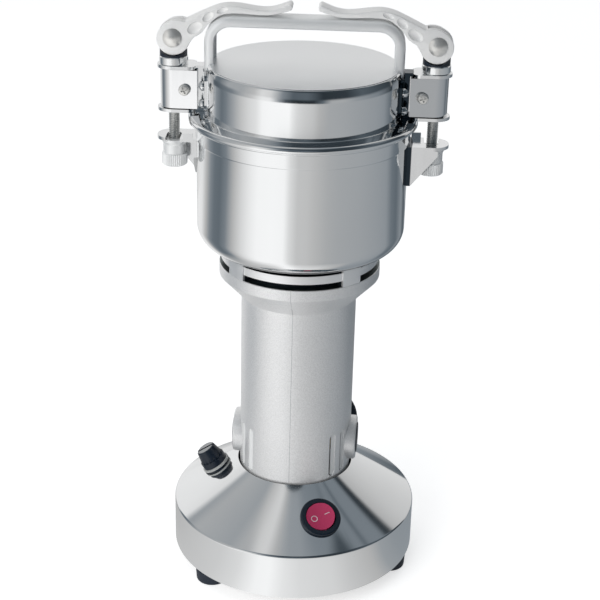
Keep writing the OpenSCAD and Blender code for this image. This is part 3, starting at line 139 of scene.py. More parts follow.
low_ring = panels([
    (-180, 0.60), (-150, 0.85), (-137, 0.80), (-122, 0.30), (-110, 0.18), (-101, 0.24), (-89, 0.40),
    (-77, 0.60), (-66, 0.76), (-56, 0.86), (-48, 1.06), (-36, 1.10), (-16, 1.12), (-12, 0.94), (-7, 0.80),
    (1, 0.71), (11, 0.64), (19, 0.51), (30, 0.44), (60, 0.40), (94, 0.35), (108, 0.31), (122, 0.16),
    (138, 0.30), (150, 0.05), (164, 0.30), (180, 0.60),
])
sill_ring = panels([(-180, 0.30), (-120, 0.12), (-90, 0.24), (-62, 0.60), (-48, 0.95), (-38, 0.95),
                    (-28, 0.35), (-20, 0.08), (-10, 0.025), (12, 0.03), (22, 0.15), (32, 0.45), (46, 0.45),
                    (64, 0.35), (94, 0.25), (120, 0.05), (180, 0.30)])
eye_ring = panels([
    (-180, 0.84), (-150, 0.90), (-127, 0.86), (-123, 0.20), (-114, 0.18), (-96, 0.42), (-75, 0.42),
    (-58, 0.55), (-48, 0.80), (-38, 0.75), (-24, 0.28), (-12, 0.13), (4, 0.14), (22, 0.04), (50, 0.05), (70, 0.12), (95, 0.08),
    (117, 0.05), (121, 0.55), (134, 0.63), (158, 0.76), (180, 0.84),
])
high_ring = panels([
    (-180, 0.60), (-150, 0.70), (-127, 0.80), (-123, 0.38), (-116, 0.45), (-98, 0.40), (-91, 0.38),
    (-80, 0.46), (-60, 0.40), (-45, 0.34), (-34, 0.25), (-24, 0.12), (-10, 0.06), (60, 0.05), (84, 0.08),
    (91, 0.24),
    (96, 0.24), (98.5, 0.12), (101, 0.24), (111, 0.24), (114, 0.04), (117, 0.04), (120, 0.50), (131, 0.60),
    (160, 0.55), (180, 0.60),
])
top_ring = panels([(-180, 0.45), (-110, 0.42), (-91, 0.40), (-80, 0.54), (-66, 0.68), (-55, 0.72), (-38, 0.48),
                   (-24, 0.40), (-10, 0.35), (20, 0.34), (52, 0.26), (95, 0.22), (130, 0.34), (180, 0.45)])

world = bpy.data.worlds.new("studio_tent")
bpy.context.scene.world = world
world.use_nodes = True
room = world.node_tree
room.nodes.clear()
looking = add_node(room, "ShaderNodeTexCoord").outputs["Generated"]
axes = add_node(room, "ShaderNodeSeparateXYZ", {0: looking})
back_y = math_node(room, "MULTIPLY", axes.outputs["Y"], -1.0)
compass = math_node(room, "ARCTAN2", axes.outputs["X"], back_y)
around = math_node(room, "ADD", math_node(room, "DIVIDE", compass, 2 * pi), 0.5)
height = axes.outputs["Z"]


def rise(low, high):
    # 0 below the height low, 1 above high, where a height is the sine of the elevation
    node = add_node(room, "ShaderNodeMapRange", {"Value": height, "From Min": low, "From Max": high},
                    interpolation_type="SMOOTHSTEP")
    return node.outputs["Result"]


def blend(factor, first, second):
    node = add_node(room, "ShaderNodeMix", {"Factor": factor}, data_type="RGBA")
    room.links.new(first, node.inputs[6])
    room.links.new(second, node.inputs[7])
    return node.outputs[2]


low = ramp_node(room, around, low_ring)
eye = ramp_node(room, around, eye_ring)
high = ramp_node(room, around, high_ring)
sill, top = ramp_node(room, around, sill_ring), ramp_node(room, around, top_ring)
tent = blend(rise(-0.245, -0.215), low, sill)
tent = blend(rise(-0.16, -0.05), tent, eye)
tent = blend(rise(0.40, 0.62), tent, high)
tent = blend(rise(0.90, 0.945), tent, top)
panel_light = add_node(room, "ShaderNodeBackground", {"Color": tent, "Strength": 1.0})
white_card = add_node(room, "ShaderNodeBackground", {"Color": (1, 1, 1, 1), "Strength": 1.0})
path = add_node(room, "ShaderNodeLightPath")
shown = add_node(room, "ShaderNodeMixShader", {0: path.outputs["Is Camera Ray"],
                                               1: panel_light.outputs[0], 2: white_card.outputs[0]})
add_node(room, "ShaderNodeOutputWorld", {"Surface": shown.outputs[0]})
print("tent panels:", len(low_ring), len(eye_ring), len(high_ring), len(top_ring))

# %% [markdown]
# ## Lamp and floor
# One large lamp stands behind the bright panel, so that matt surfaces are lit from the same side as
# the shiny ones. The floor is a white table top that keeps the soft shadow of the mill. A second card
# lies under the mill for reflections only: the skirt of the base mirrors the table close by, while
# the cup, which stands high, mirrors the room beyond it.

# %% Lamp
lamp_data = bpy.data.lights.new("key_lamp", "AREA")
lamp_data.shape, lamp_data.size, lamp_data.size_y = "RECTANGLE", 0.9, 0.9
lamp_data.energy = 9
lamp_data.color = (1.0, 0.99, 0.975)
lamp = bpy.data.objects.new("key_lamp", lamp_data)
bpy.context.scene.collection.objects.link(lamp)
lamp.location = (-0.62, -1.05, 0.62)
lamp.rotation_mode = "QUATERNION"
lamp.rotation_quaternion = (Vector((0, 0, 0.16)) - lamp.location).to_track_quat("-Z", "Y")
lamp.visible_glossy = False

# %% Floor and reflection card
def flat_disc(name, radius, z):
    mesh = bpy.data.meshes.new(name)
    shape = bmesh.new()
    bmesh.ops.create_circle(shape, cap_ends=True, segments=96, radius=radius)
    shape.to_mesh(mesh)
    shape.free()
    disc = bpy.data.objects.new(name, mesh)
    bpy.context.scene.collection.objects.link(disc)
    disc.location.z = z
    return disc


def table_finish(name, own_light):
    mat, tree = new_material(name)
    white = add_node(tree, "ShaderNodeBsdfDiffuse", {"Color": (0.93, 0.93, 0.93, 1)})
    glow = add_node(tree, "ShaderNodeEmission", {"Color": (1, 1, 1, 1), "Strength": own_light})
    seen = add_node(tree, "ShaderNodeLightPath")
    dark = add_node(tree, "ShaderNodeEmission", {"Strength": 0.0})
    lit = add_node(tree, "ShaderNodeMixShader", {0: seen.outputs["Is Camera Ray"],
                                                 1: dark.outputs[0], 2: glow.outputs[0]})
    both = add_node(tree, "ShaderNodeAddShader", {0: white.outputs[0], 1: lit.outputs[0]})
    add_node(tree, "ShaderNodeOutputMaterial", {"Surface": both.outputs[0]})
    return mat


floor = flat_disc("table_top", 6.0, 0)
floor.data.materials.append(table_finish("white_table", 0.64))
floor.visible_glossy = False
def card_finish(name, near_rows, far_rows):
    # Brightness round the mill, in degrees to the right of the camera, near the mill and further out
    mat, tree = new_material(name)
    place = add_node(tree, "ShaderNodeTexCoord").outputs["Object"]
    parts = add_node(tree, "ShaderNodeSeparateXYZ", {0: place})
    towards = math_node(tree, "MULTIPLY", parts.outputs["Y"], -1.0)
    turn_share = math_node(tree, "DIVIDE", math_node(tree, "ARCTAN2", parts.outputs["X"], towards), 2 * pi)
    compass_share = math_node(tree, "ADD", turn_share, 0.5)
    distance = add_node(tree, "ShaderNodeVectorMath", {0: place}, operation="LENGTH").outputs["Value"]
    outwards = add_node(tree, "ShaderNodeMapRange", {"Value": distance, "From Min": 0.12, "From Max": 0.24})
    shade = add_node(tree, "ShaderNodeMix", {"Factor": outwards.outputs["Result"]}, data_type="RGBA")
    tree.links.new(ramp_node(tree, compass_share, near_rows), shade.inputs[6])
    tree.links.new(ramp_node(tree, compass_share, far_rows), shade.inputs[7])
    glow = add_node(tree, "ShaderNodeEmission", {"Color": shade.outputs[2], "Strength": 1.0})
    add_node(tree, "ShaderNodeOutputMaterial", {"Surface": glow.outputs[0]})
    return mat


card = flat_disc("reflection_card", 0.60, -0.0005)
card.data.materials.append(card_finish("white_card", panels([
    (-180, 0.45), (-110, 0.50), (-70, 0.62), (-50, 0.68), (-35, 0.80), (-22, 1.05), (-14, 1.07), (-5, 0.90),
    (5, 0.80), (25, 0.74), (38, 0.62), (55, 0.50), (65, 0.38), (80, 0.33), (110, 0.30), (180, 0.45)]),
    panels([
        (-180, 0.60), (-150, 0.88), (-137, 0.84), (-125, 0.50), (-116, 0.28), (-108, 0.19), (-98, 0.17),
        (-88, 0.25), (-77, 0.52), (-66, 0.77), (-56, 0.95), (-47, 1.06), (-30, 1.08), (-18, 1.06),
        (-12, 0.80), (-4, 0.62), (6, 0.60), (14, 0.54), (28, 0.46), (40, 0.43), (67, 0.40), (91, 0.36),
        (104, 0.33), (114, 0.20), (125, 0.16), (140, 0.30), (150, 0.10), (164, 0.30), (180, 0.60)])))
card.visible_camera = card.visible_diffuse = card.visible_shadow = False
print("stage ready")

# %% [markdown]
# ## Finishes
# Every metal of the mill is the same recipe with other numbers: a metallic shader, a roughness that
# wanders a little, and a bump too fine to see as a bump. Spun and drawn steel carries fine rings from
# the polishing wheel, so its noise is squeezed along the mill's axis. Cast metal has round grains.
# Plastic is a dielectric with a faint skin texture.

# %% Metal recipe
def metal(name, color, rough, spread=0.04, grain=(40, 40, 2600), bump=0.02, bump_mm=0.02, tint=0.03,
          metallic=1.0, painted_shade_inside=0.0, painted_shade_below=0.0, lean=0.0, speckle=0.0):
    # The inside radius is in mm round the mill's axis: nearer than that the colour is painted dark, a painted shade
    # for places other parts shadow
    # The height below is in mm: under it the colour is painted dark, a painted shade on the shadowed underside
    # lean is a slope across the piece, for a sheet face that is not quite square to the front
    # speckle darkens the hollows between the grains of a casting
    mat, tree = new_material(name)
    place = add_node(tree, "ShaderNodeTexCoord").outputs["Object"]
    squeezed = add_node(tree, "ShaderNodeMapping", {"Vector": place, "Scale": grain}).outputs[0]
    fine = add_node(tree, "ShaderNodeTexNoise", {"Vector": squeezed, "Scale": 1.0, "Detail": 4.0})
    cloud = add_node(tree, "ShaderNodeTexNoise", {"Vector": place, "Scale": 28.0, "Detail": 3.0})
    mixed = math_node(tree, "MULTIPLY_ADD", fine.outputs["Fac"], 0.5)
    mixed.node.inputs[2].default_value = 0.0
    tree.links.new(cloud.outputs["Fac"], mixed.node.inputs[2])
    wander = add_node(tree, "ShaderNodeMapRange", {"Value": mixed, "From Min": 0.45, "From Max": 1.05,
                                                   "To Min": rough - spread, "To Max": rough + spread})
    shade = add_node(tree, "ShaderNodeMix", {"Factor": cloud.outputs["Fac"]}, data_type="RGBA")
    shade.inputs[6].default_value = (*[c * (1 - tint) for c in color], 1)
    shade.inputs[7].default_value = (*[min(1, c * (1 + tint)) for c in color], 1)
    relief = add_node(tree, "ShaderNodeBump", {"Height": fine.outputs["Fac"], "Strength": bump,
                                               "Distance": bump_mm * MM})
    base, normal = shade.outputs[2], relief.outputs[0]
    if speckle:
        sand = add_node(tree, "ShaderNodeTexNoise", {"Vector": place, "Scale": 1900.0, "Detail": 2.0})
        depth = add_node(tree, "ShaderNodeMapRange", {"Value": sand.outputs["Fac"], "From Min": 0.35,
                                                      "From Max": 0.65, "To Min": 1 - speckle, "To Max": 1.0})
        grains = add_node(tree, "ShaderNodeVectorMath", {0: base}, operation="SCALE")
        tree.links.new(depth.outputs["Result"], grains.inputs["Scale"])
        base = grains.outputs[0]
    parts = add_node(tree, "ShaderNodeSeparateXYZ", {0: place})
    if painted_shade_inside:
        flat = add_node(tree, "ShaderNodeCombineXYZ", {0: parts.outputs["X"], 1: parts.outputs["Y"]})
        radius = add_node(tree, "ShaderNodeVectorMath", {0: flat.outputs[0]}, operation="LENGTH").outputs["Value"]
        outside = add_node(tree, "ShaderNodeMapRange", {"Value": radius, "From Min": (painted_shade_inside - 0.2) * MM,
                                                        "From Max": (painted_shade_inside + 0.2) * MM})
        base = add_node(tree, "ShaderNodeMix", {"Factor": outside.outputs["Result"]}, data_type="RGBA")
        # painted shade: this dark blue-grey stands in for the shade inside the radius
        base.inputs[6].default_value = (0.026, 0.036, 0.046, 1)
        tree.links.new(shade.outputs[2], base.inputs[7])
        base = base.outputs[2]
    if painted_shade_below:
        over = add_node(tree, "ShaderNodeMapRange", {"Value": parts.outputs["Z"], "From Min": (painted_shade_below - 0.5) * MM,
                                                     "From Max": (painted_shade_below + 0.5) * MM})
        base = add_node(tree, "ShaderNodeMix", {"Factor": over.outputs["Result"]}, data_type="RGBA")
        # painted shade: this dark colour stands in for the shade under the height
        base.inputs[6].default_value = (0.05, 0.06, 0.07, 1)
        tree.links.new(shade.outputs[2], base.inputs[7])
        base = base.outputs[2]
    if lean:
        slope = math_node(tree, "MULTIPLY", parts.outputs["X"], -lean)
        normal = add_node(tree, "ShaderNodeBump", {"Height": slope, "Strength": 1.0, "Distance": 1.0,
                                                   "Normal": normal}).outputs[0]
    steel = add_node(tree, "ShaderNodeBsdfPrincipled", {
        "Base Color": base, "Metallic": metallic, "Roughness": wander.outputs["Result"], "Normal": normal})
    add_node(tree, "ShaderNodeOutputMaterial", {"Surface": steel.outputs[0]})
    return mat


polished = metal("polished_steel", (0.84, 0.85, 0.855), 0.075, 0.015)
# painted shade: below 197.6 mm the cup's colour is painted dark, standing in for the shade on its underside over the
# band
cup_painted_shade = metal("polished_cup_painted_shade", (0.84, 0.85, 0.855), 0.075, 0.015, painted_shade_below=197.6)
box_left = metal("sheet_steel_left", (0.86, 0.865, 0.87), 0.12, 0.03, grain=(600, 600, 60), lean=-0.15)
box_right = metal("sheet_steel_right", (0.82, 0.825, 0.83), 0.12, 0.03, grain=(600, 600, 60), lean=0.28)
disc_steel = metal("brushed_steel", (0.92, 0.93, 0.935), 0.38, 0.04, grain=(60, 2600, 60), bump=0.08,
                   metallic=0.8)
cast = metal("cast_alloy", (0.98, 0.985, 0.99), 0.40, 0.05, grain=(700, 700, 700), bump=0.8,
             bump_mm=0.16, tint=0.05, metallic=0.58, speckle=0.13)
# painted shade: inside 42.9 mm round the axis the shield is painted dark, standing in for the shade in its windows
shield_painted_shade = metal("cast_shield", (0.95, 0.955, 0.96), 0.34, 0.05, grain=(700, 700, 700), bump=0.12,
                  bump_mm=0.08, metallic=0.7, painted_shade_inside=42.9)
# painted shade: the seat's dark colour stands in for the shade it lies in under the shield
seat_painted_shade = metal("machined_seat_painted_shade", (0.30, 0.34, 0.34), 0.40, 0.05, grain=(900, 900, 900), bump=0.1)
lever_metal = metal("tumbled_casting", (0.97, 0.97, 0.965), 0.36, 0.05, grain=(250, 250, 250),
                    bump=0.03, bump_mm=0.04, metallic=0.3)
bright = metal("bright_plate", (0.86, 0.87, 0.87), 0.10, 0.03, grain=(300, 300, 300))
thread_steel = metal("thread_steel", (0.72, 0.72, 0.70), 0.36, 0.05, grain=(400, 400, 400))
pin_metal = metal("pin_plate", (0.86, 0.85, 0.82), 0.30, 0.05, grain=(300, 300, 300), metallic=0.75)
nut_metal = metal("nut_plate", (0.96, 0.97, 0.97), 0.36, 0.05, grain=(500, 500, 500), bump=0.05,
                  metallic=0.4)
plate_steel = metal("saddle_steel", (0.80, 0.81, 0.815), 0.10, 0.03, grain=(500, 500, 60))
# painted shade: inside 57 mm round the axis the right saddle is painted dark, standing in for shade on its inner web
plate_painted_shade = metal("saddle_steel_right_painted_shade", (0.80, 0.81, 0.815), 0.10, 0.03, grain=(500, 500, 60),
                     painted_shade_inside=57.0)
# painted shade: inside 58.5 mm round the axis the right fork is painted dark, standing in for shade on its web by the
# cup
fork_painted_shade = metal("welded_steel", (0.86, 0.865, 0.87), 0.16, 0.03, grain=(500, 500, 60), painted_shade_inside=58.5)
fork_plain = metal("welded_steel_left", (0.80, 0.81, 0.815), 0.16, 0.03, grain=(500, 500, 60))
strap_steel = metal("strap_steel", (0.94, 0.95, 0.955), 0.36, 0.03, grain=(60, 900, 900), metallic=0.4)
ground = metal("ground_steel", (0.62, 0.62, 0.63), 0.26, 0.05)
stack_steel = metal("lamination_steel", (0.25, 0.25, 0.26), 0.45, 0.08, grain=(60, 60, 2000), bump=0.3)
brass = metal("brass", (0.78, 0.60, 0.28), 0.28, 0.06)
copper = metal("commutator_copper", (0.80, 0.42, 0.26), 0.25, 0.06)
bronze = metal("sintered_bronze", (0.45, 0.32, 0.18), 0.42, 0.06, grain=(900, 900, 900), bump=0.2)


# %% Plastic, rubber and other recipes
def moulded(name, color, rough, grain=1800, bump=0.08, coat=0.0, specular=0.5, tint=0.06, sheen=0.0,
            transmission=0.0):
    mat, tree = new_material(name)
    place = add_node(tree, "ShaderNodeTexCoord").outputs["Object"]
    skin = add_node(tree, "ShaderNodeTexNoise", {"Vector": place, "Scale": grain, "Detail": 3.0})
    cloud = add_node(tree, "ShaderNodeTexNoise", {"Vector": place, "Scale": 60.0, "Detail": 3.0})
    shade = add_node(tree, "ShaderNodeMix", {"Factor": cloud.outputs["Fac"]}, data_type="RGBA")
    shade.inputs[6].default_value = (*[c * (1 - tint) for c in color], 1)
    shade.inputs[7].default_value = (*[min(1, c * (1 + tint)) for c in color], 1)
    wander = add_node(tree, "ShaderNodeMapRange", {"Value": cloud.outputs["Fac"], "To Min": rough - 0.05,
                                                   "To Max": rough + 0.05})
    relief = add_node(tree, "ShaderNodeBump", {"Height": skin.outputs["Fac"], "Strength": bump,
                                               "Distance": 0.05 * MM})
    body = add_node(tree, "ShaderNodeBsdfPrincipled", {
        "Base Color": shade.outputs[2], "Roughness": wander.outputs["Result"], "Coat Weight": coat,
        "Specular IOR Level": specular, "Sheen Weight": sheen, "Transmission Weight": transmission,
        "Normal": relief.outputs[0]})
    add_node(tree, "ShaderNodeOutputMaterial", {"Surface": body.outputs[0]})
    return mat


black_plastic = moulded("black_plastic", (0.010, 0.017, 0.030), 0.36)
gloss_black = moulded("black_bezel", (0.010, 0.018, 0.030), 0.24, bump=0.03)
rubber = moulded("foot_rubber", (0.016, 0.024, 0.040), 0.60, grain=900, bump=0.2)
crimson = moulded("crimson_rocker", (0.54, 0.042, 0.130), 0.30, bump=0.03)
white_mark = moulded("white_print", (0.85, 0.80, 0.82), 0.45)
grey_plastic = moulded("grey_plastic", (0.10, 0.10, 0.105), 0.5)
# A lighter grey for the flat top face of the fuse cap
lighter_top_plastic = moulded("lighter_top_plastic", (0.30, 0.31, 0.32), 0.22, grain=900, bump=0.4, tint=0.3)
vent_light_white = moulded("vent_light_white", (0.93, 0.94, 0.94), 0.4)
washer_grey = moulded("pale_washer", (0.56, 0.57, 0.56), 0.45)
carbon = moulded("carbon_block", (0.04, 0.04, 0.042), 0.5, bump=0.2)
winding = moulded("varnished_wire", (0.42, 0.16, 0.05), 0.28, grain=500, bump=0.6)
fan_white = moulded("fan_nylon", (0.72, 0.70, 0.62), 0.5)
silicone = moulded("silicone", (0.78, 0.79, 0.78), 0.42)
fuse_glass = moulded("fuse_glass", (0.85, 0.90, 0.90), 0.08, transmission=0.9)
plate_paint = moulded("plate_paint", (0.035, 0.035, 0.038), 0.5, grain=700, bump=0.3)
seam_shade = moulded("seam_shadow", (0.56, 0.57, 0.58), 0.6)

finishes = {
    polished: "base_shell lid_shell", cup_painted_shade: "cup",
    box_left: "clamp_box_left", box_right: "clamp_box_right",
    plate_steel: "bracket_left", plate_painted_shade: "bracket_right", fork_plain: "fork_left", fork_painted_shade: "fork_right", strap_steel: "handle",
    bright: "seat_rings bracket_rivets foot_screws column_screws cup_screws shield_screws "
            "lower_blade upper_blade blade_spacer blade_nut",
    cast: "motor_column", shield_painted_shade: "upper_shield",
    pin_metal: "lever_pin_left lever_pin_right box_screws", lever_metal: "lever_left lever_right", nut_metal: "nut_left nut_right",
    thread_steel: "rod_left rod_right clamp_springs brush_springs",
    ground: "motor_shaft lower_bearing upper_bearing",
    stack_steel: "stator_core armature", winding: "field_coils armature_windings",
    brass: "brush_tubes", copper: "commutator", bronze: "shaft_bush",
    black_plastic: "brush_caps cord_gland fuse_holder fuse_cap cam_seats",
    gloss_black: "switch_body", rubber: "feet", crimson: "rocker", grey_plastic: "gland_nut fuse_nut",
    washer_grey: "fuse_washer", carbon: "carbon_brushes", fan_white: "cooling_fan",
    silicone: "lid_seal", fuse_glass: "fuse", plate_paint: "bottom_plate",
}
for mat, names in finishes.items():
    for name in names.split():
        mesh = nodes[name].data
        mesh.materials.clear()
        mesh.materials.append(mat)
        mesh.polygons.foreach_set("material_index", [0] * len(mesh.polygons))
        mesh.polygons.foreach_set("use_smooth", [True] * len(mesh.polygons))
cap_mesh = nodes["fuse_cap"].data
cap_axis = Vector((-sin(atan(24 / 36.9)), 0, cos(atan(24 / 36.9))))
cap_top = max(face.center.dot(cap_axis) for face in cap_mesh.polygons)
# The flat top face of the fuse cap gets a lighter grey plastic than its black sides
cap_mesh.materials.append(lighter_top_plastic)
for face in cap_mesh.polygons:
    if face.normal.dot(cap_axis) > 0.9 and face.center.dot(cap_axis) > cap_top - 0.3 * MM:
        face.material_index = 1
bare = [n for n in nodes if not nodes[n].data.materials]
print("finishes:", len(finishes), "nodes without one:", bare)

# %% [markdown]
# ## Smooth edges on the carried-over solids
# The solids come as triangles whose faces are separate at each real edge. The smooth-by-angle rule
# keeps the corners crisp, so that round faces shine without facets.

# %% Smooth by angle
def smooth_by_angle(mesh, degrees=32):
    mesh.polygons.foreach_set("use_smooth", [True] * len(mesh.polygons))
    mesh.set_sharp_from_angle(angle=radians(degrees))


for name, node in nodes.items():
    smooth_by_angle(node.data)

# %% [markdown]
# ## Turned shells
# The cup, the lid and the base are sheet steel spun over a former. Each is one outline turned about
# the axis, with rounded corners made of many short steps. 256 steps round the axis keep the edge of
# a bright panel straight where it mirrors in the wall.

# %% Outline helpers
def arc(cx, cz, r, a0, a1, steps=10):
    return [(cx + r * cos(radians(a0 + (a1 - a0) * i / steps)),
             cz + r * sin(radians(a0 + (a1 - a0) * i / steps))) for i in range(steps + 1)]


def link_piece(name, mesh, mat, body, replaced=()):
    piece = bpy.data.objects.new(name, mesh)
    bpy.context.scene.collection.objects.link(piece)
    if mat is not None:
        mesh.materials.append(mat)
    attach(piece, body)
    if replaced:
        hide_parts(*replaced)
    return piece


def turned(name, outline, mat, body, replaced=(), segments=256, angle=28, closed=True):
    # outline is a list of (radius, height) in mm, walked with the metal on its left
    shape = bmesh.new()
    rings = []
    for r, z in outline:
        if r < 1e-6:
            rings.append([shape.verts.new((0, 0, z * MM))])
        else:
            rings.append([shape.verts.new((r * MM * cos(2 * pi * k / segments),
                                           r * MM * sin(2 * pi * k / segments), z * MM))
                          for k in range(segments)])
    pairs = list(zip(rings, rings[1:] + (rings[:1] if closed else [])))
    if not closed:
        pairs = pairs[:len(rings) - 1]
    for a, b in pairs:
        for k in range(segments):
            j = (k + 1) % segments
            if len(a) == 1 and len(b) == 1:
                continue
            if len(a) == 1:
                shape.faces.new((a[0], b[j], b[k]))
            elif len(b) == 1:
                shape.faces.new((a[k], a[j], b[0]))
            else:
                shape.faces.new((a[k], a[j], b[j], b[k]))
    bmesh.ops.recalc_face_normals(shape, faces=shape.faces)
    mesh = bpy.data.meshes.new(name)
    shape.to_mesh(mesh)
    shape.free()
    smooth_by_angle(mesh, angle)
    return link_piece(name, mesh, mat, body, replaced)


# %% [markdown]
# ### The cup
# A deep-drawn cup with a large bottom corner. A short collar steps out under the rolled rim.

# %% Cup
cup_r, cup_wall, corner_r, z_cup = 56.3, 1.2, 12.0, 194.5
corner = (cup_r - corner_r, z_cup + corner_r)
cup_outer = ([(11.1, z_cup)] + arc(*corner, corner_r, -90, 0, 24)
             + [(56.3, 254.2), (56.42, 254.6), (56.88, 255.0), (57.0, 255.4), (57.0, 262.0)]
             + [(57.1, 262.4), (57.3, 262.6)] + arc(57.9, 263.7, 1.1, -90, 90, 12))
cup_inner = ([(55.9, 264.8), (55.8, 264.7), (55.8, 255.4), (55.1, 254.2)]
             + arc(*corner, corner_r - cup_wall, 0, -90, 24) + [(11.1, z_cup + cup_wall)])
cup_piece = turned("grinding_cup", cup_outer + cup_inner, cup_painted_shade, "stand", ["cup"])
print("cup outline points:", len(cup_outer) + len(cup_inner))

# %% [markdown]
# ### The lid
# The lid's wall rolls into a flat top that was brushed in straight lines after polishing. The
# flange below is pressed thin and turns up into the wall with a small radius.

# %% Lid
def oval(cx, cz, wide, high, a0, a1, steps):
    return [(cx + wide * cos(radians(a0 + (a1 - a0) * i / steps)),
             cz + high * sin(radians(a0 + (a1 - a0) * i / steps))) for i in range(steps + 1)]


disc_r, disc_z = 49.5, 293.85
lid_outer = ([(50.3, 265.55), (59.7, 265.55), (59.7, 264.5), (59.8, 264.35), (60.5, 264.35), (60.6, 264.5)]
             + arc(58.4, 265.35, 2.2, 0, 76, 14) + arc(52.3, 268.35, 0.8, 260, 180, 10)
             + oval(49.9, 286.5, 1.6, 7.05, 0, 86, 28) + [(disc_r + 0.25, 293.56)]
             + arc(disc_r, disc_z - 0.22, 0.22, 0, 90, 8) + [(0, disc_z)])
lid_inner = [(0, 292.35), (48.4, 292.35)] + oval(48.4, 287.3, 1.9, 5.05, 90, 0, 10)
lid_piece = turned("lid_cover", lid_outer + lid_inner, polished, "lid", ["lid_shell"])
lid_piece.data.materials.append(disc_steel)
for face in lid_piece.data.polygons:
    mid = face.center
    if mid.z > 293.8 * MM and hypot(mid.x, mid.y) < disc_r * MM:
        face.material_index = 1
print("brushed faces:", sum(f.material_index for f in lid_piece.data.polygons))

# %% [markdown]
# ## Cutting
# Holes and slots are cut the way a workshop does it: a cutter is made, put in place and taken out of
# the piece. The cutters here are small meshes, and Blender's exact boolean does the cut.

# %% Cutting helpers
def lathe_mesh(name, outline, place=Matrix.Identity(4), segments=48):
    # A turned solid of its own, closed on the axis, from (radius, height) points in mm
    shape = bmesh.new()
    rings = [[shape.verts.new((r * MM * cos(2 * pi * k / segments), r * MM * sin(2 * pi * k / segments),
                               z * MM)) for k in range(segments)] for r, z in outline]
    for a, b in zip(rings, rings[1:]):
        for k in range(segments):
            j = (k + 1) % segments
            shape.faces.new((a[k], a[j], b[j], b[k]))
    shape.faces.new(rings[0][::-1])
    shape.faces.new(rings[-1])
    bmesh.ops.recalc_face_normals(shape, faces=shape.faces)
    shape.transform(place)
    mesh = bpy.data.meshes.new(name)
    shape.to_mesh(mesh)
    shape.free()
    return mesh


def joined(name, meshes):
    shape = bmesh.new()
    for mesh in meshes:
        shape.from_mesh(mesh)
    mesh = bpy.data.meshes.new(name)
    shape.to_mesh(mesh)
    shape.free()
    return mesh


def box_mesh(name, low, high):
    mesh = bpy.data.meshes.new(name)
    shape = bmesh.new()
    size = [(b - a) * MM for a, b in zip(low, high)]
    middle = [(a + b) / 2 * MM for a, b in zip(low, high)]
    bmesh.ops.create_cube(shape, size=1, matrix=Matrix.Translation(middle) @ Matrix.Diagonal((*size, 1)))
    shape.to_mesh(mesh)
    shape.free()
    return mesh


def carve(mesh, cutters, operation="DIFFERENCE"):
    # Takes each cutter mesh out of mesh, or adds it, and returns the result
    work = bpy.data.objects.new("work", mesh)
    bpy.context.scene.collection.objects.link(work)
    for cutter in cutters:
        tool = bpy.data.objects.new("tool", cutter)
        bpy.context.scene.collection.objects.link(tool)
        step = work.modifiers.new("cut", "BOOLEAN")
        step.operation, step.solver, step.object = operation, "EXACT", tool
        bpy.context.view_layer.update()
        result = bpy.data.meshes.new_from_object(
            work.evaluated_get(bpy.context.evaluated_depsgraph_get()))
        work.modifiers.clear()
        work.data = result
        bpy.data.objects.remove(tool)
    result = work.data
    bpy.data.objects.remove(work)
    return result


def clean_mesh(mesh, distance=1e-6):
    shape = bmesh.new()
    shape.from_mesh(mesh)
    bmesh.ops.remove_doubles(shape, verts=shape.verts, dist=distance)
    bmesh.ops.recalc_face_normals(shape, faces=shape.faces)
    shape.to_mesh(mesh)
    shape.free()
    return mesh

# %% [markdown]
# ### The base
# Skirt and cone are one sheet, folded over a radius of 1.8 mm.

# %% Base
slope = atan((59.5 - 35.5) / (70 - 33.1))
slope_deg = slope * 180 / pi
fold_r = 1.8
fold = (70 - fold_r, 35.5 - fold_r * (1 - sin(slope)) / cos(slope))


def base_line(inset):
    return ([(70 - inset, 9)] + arc(*fold, fold_r - inset, 0, 90 - slope_deg, 10)
            + [(33.1, 59.5 - inset / cos(slope))])


def on_cone(radius, degrees):
    # A place on the cone: z points out of it and x down the slope
    z = 59.5 - (radius - 33.1) * tan(slope)
    return (Matrix.Rotation(radians(degrees), 4, "Z") @ Matrix.Translation((radius * MM, 0, z * MM))
            @ Matrix.Rotation(slope, 4, "Y"))


base_piece = turned("base_cover", base_line(0) + base_line(1.2)[::-1], polished, "stand", ["base_shell"])
holes = []
for radius, degrees, hole_r in ((50.9, -70.5, 10.0), (45.6, 180.3, 6.0)):
    drill = lathe_mesh("drill", [(hole_r, -4.0), (hole_r, 4.0)])
    drill.transform(on_cone(radius, degrees))
    holes.append(drill)
base_piece.data = clean_mesh(carve(base_piece.data, holes))
smooth_by_angle(base_piece.data, 28)
print("cone slope in degrees:", round(slope_deg, 2))

# %% [markdown]
# ## The motor column
# A light-alloy casting: one turned outline with a flared mouth, two bosses for the brush caps, a third
# boss for the cord gland, and long vents beside them. The bosses are added, then the bores and
# vents are cut. Its skin is left as cast, which gives it a fine even grain. The flat seat on its
# rim is machined and lies in the shade of the shield; that shade is painted in as a dark seat colour.

# %% Column
column_turn = Matrix.Rotation(radians(-3.2), 4, "Z")
brush_z, boss_end = 75.0, 35.4


def pointing_out(degrees, z):
    # The z axis of a piece turned to point out of the column, in degrees round the column
    return (column_turn @ Matrix.Rotation(radians(degrees), 4, "Z") @ Matrix.Translation((0, 0, z * MM))
            @ Matrix.Rotation(pi / 2, 4, "Y"))


def placed(mesh, place):
    mesh.transform(place)
    return mesh


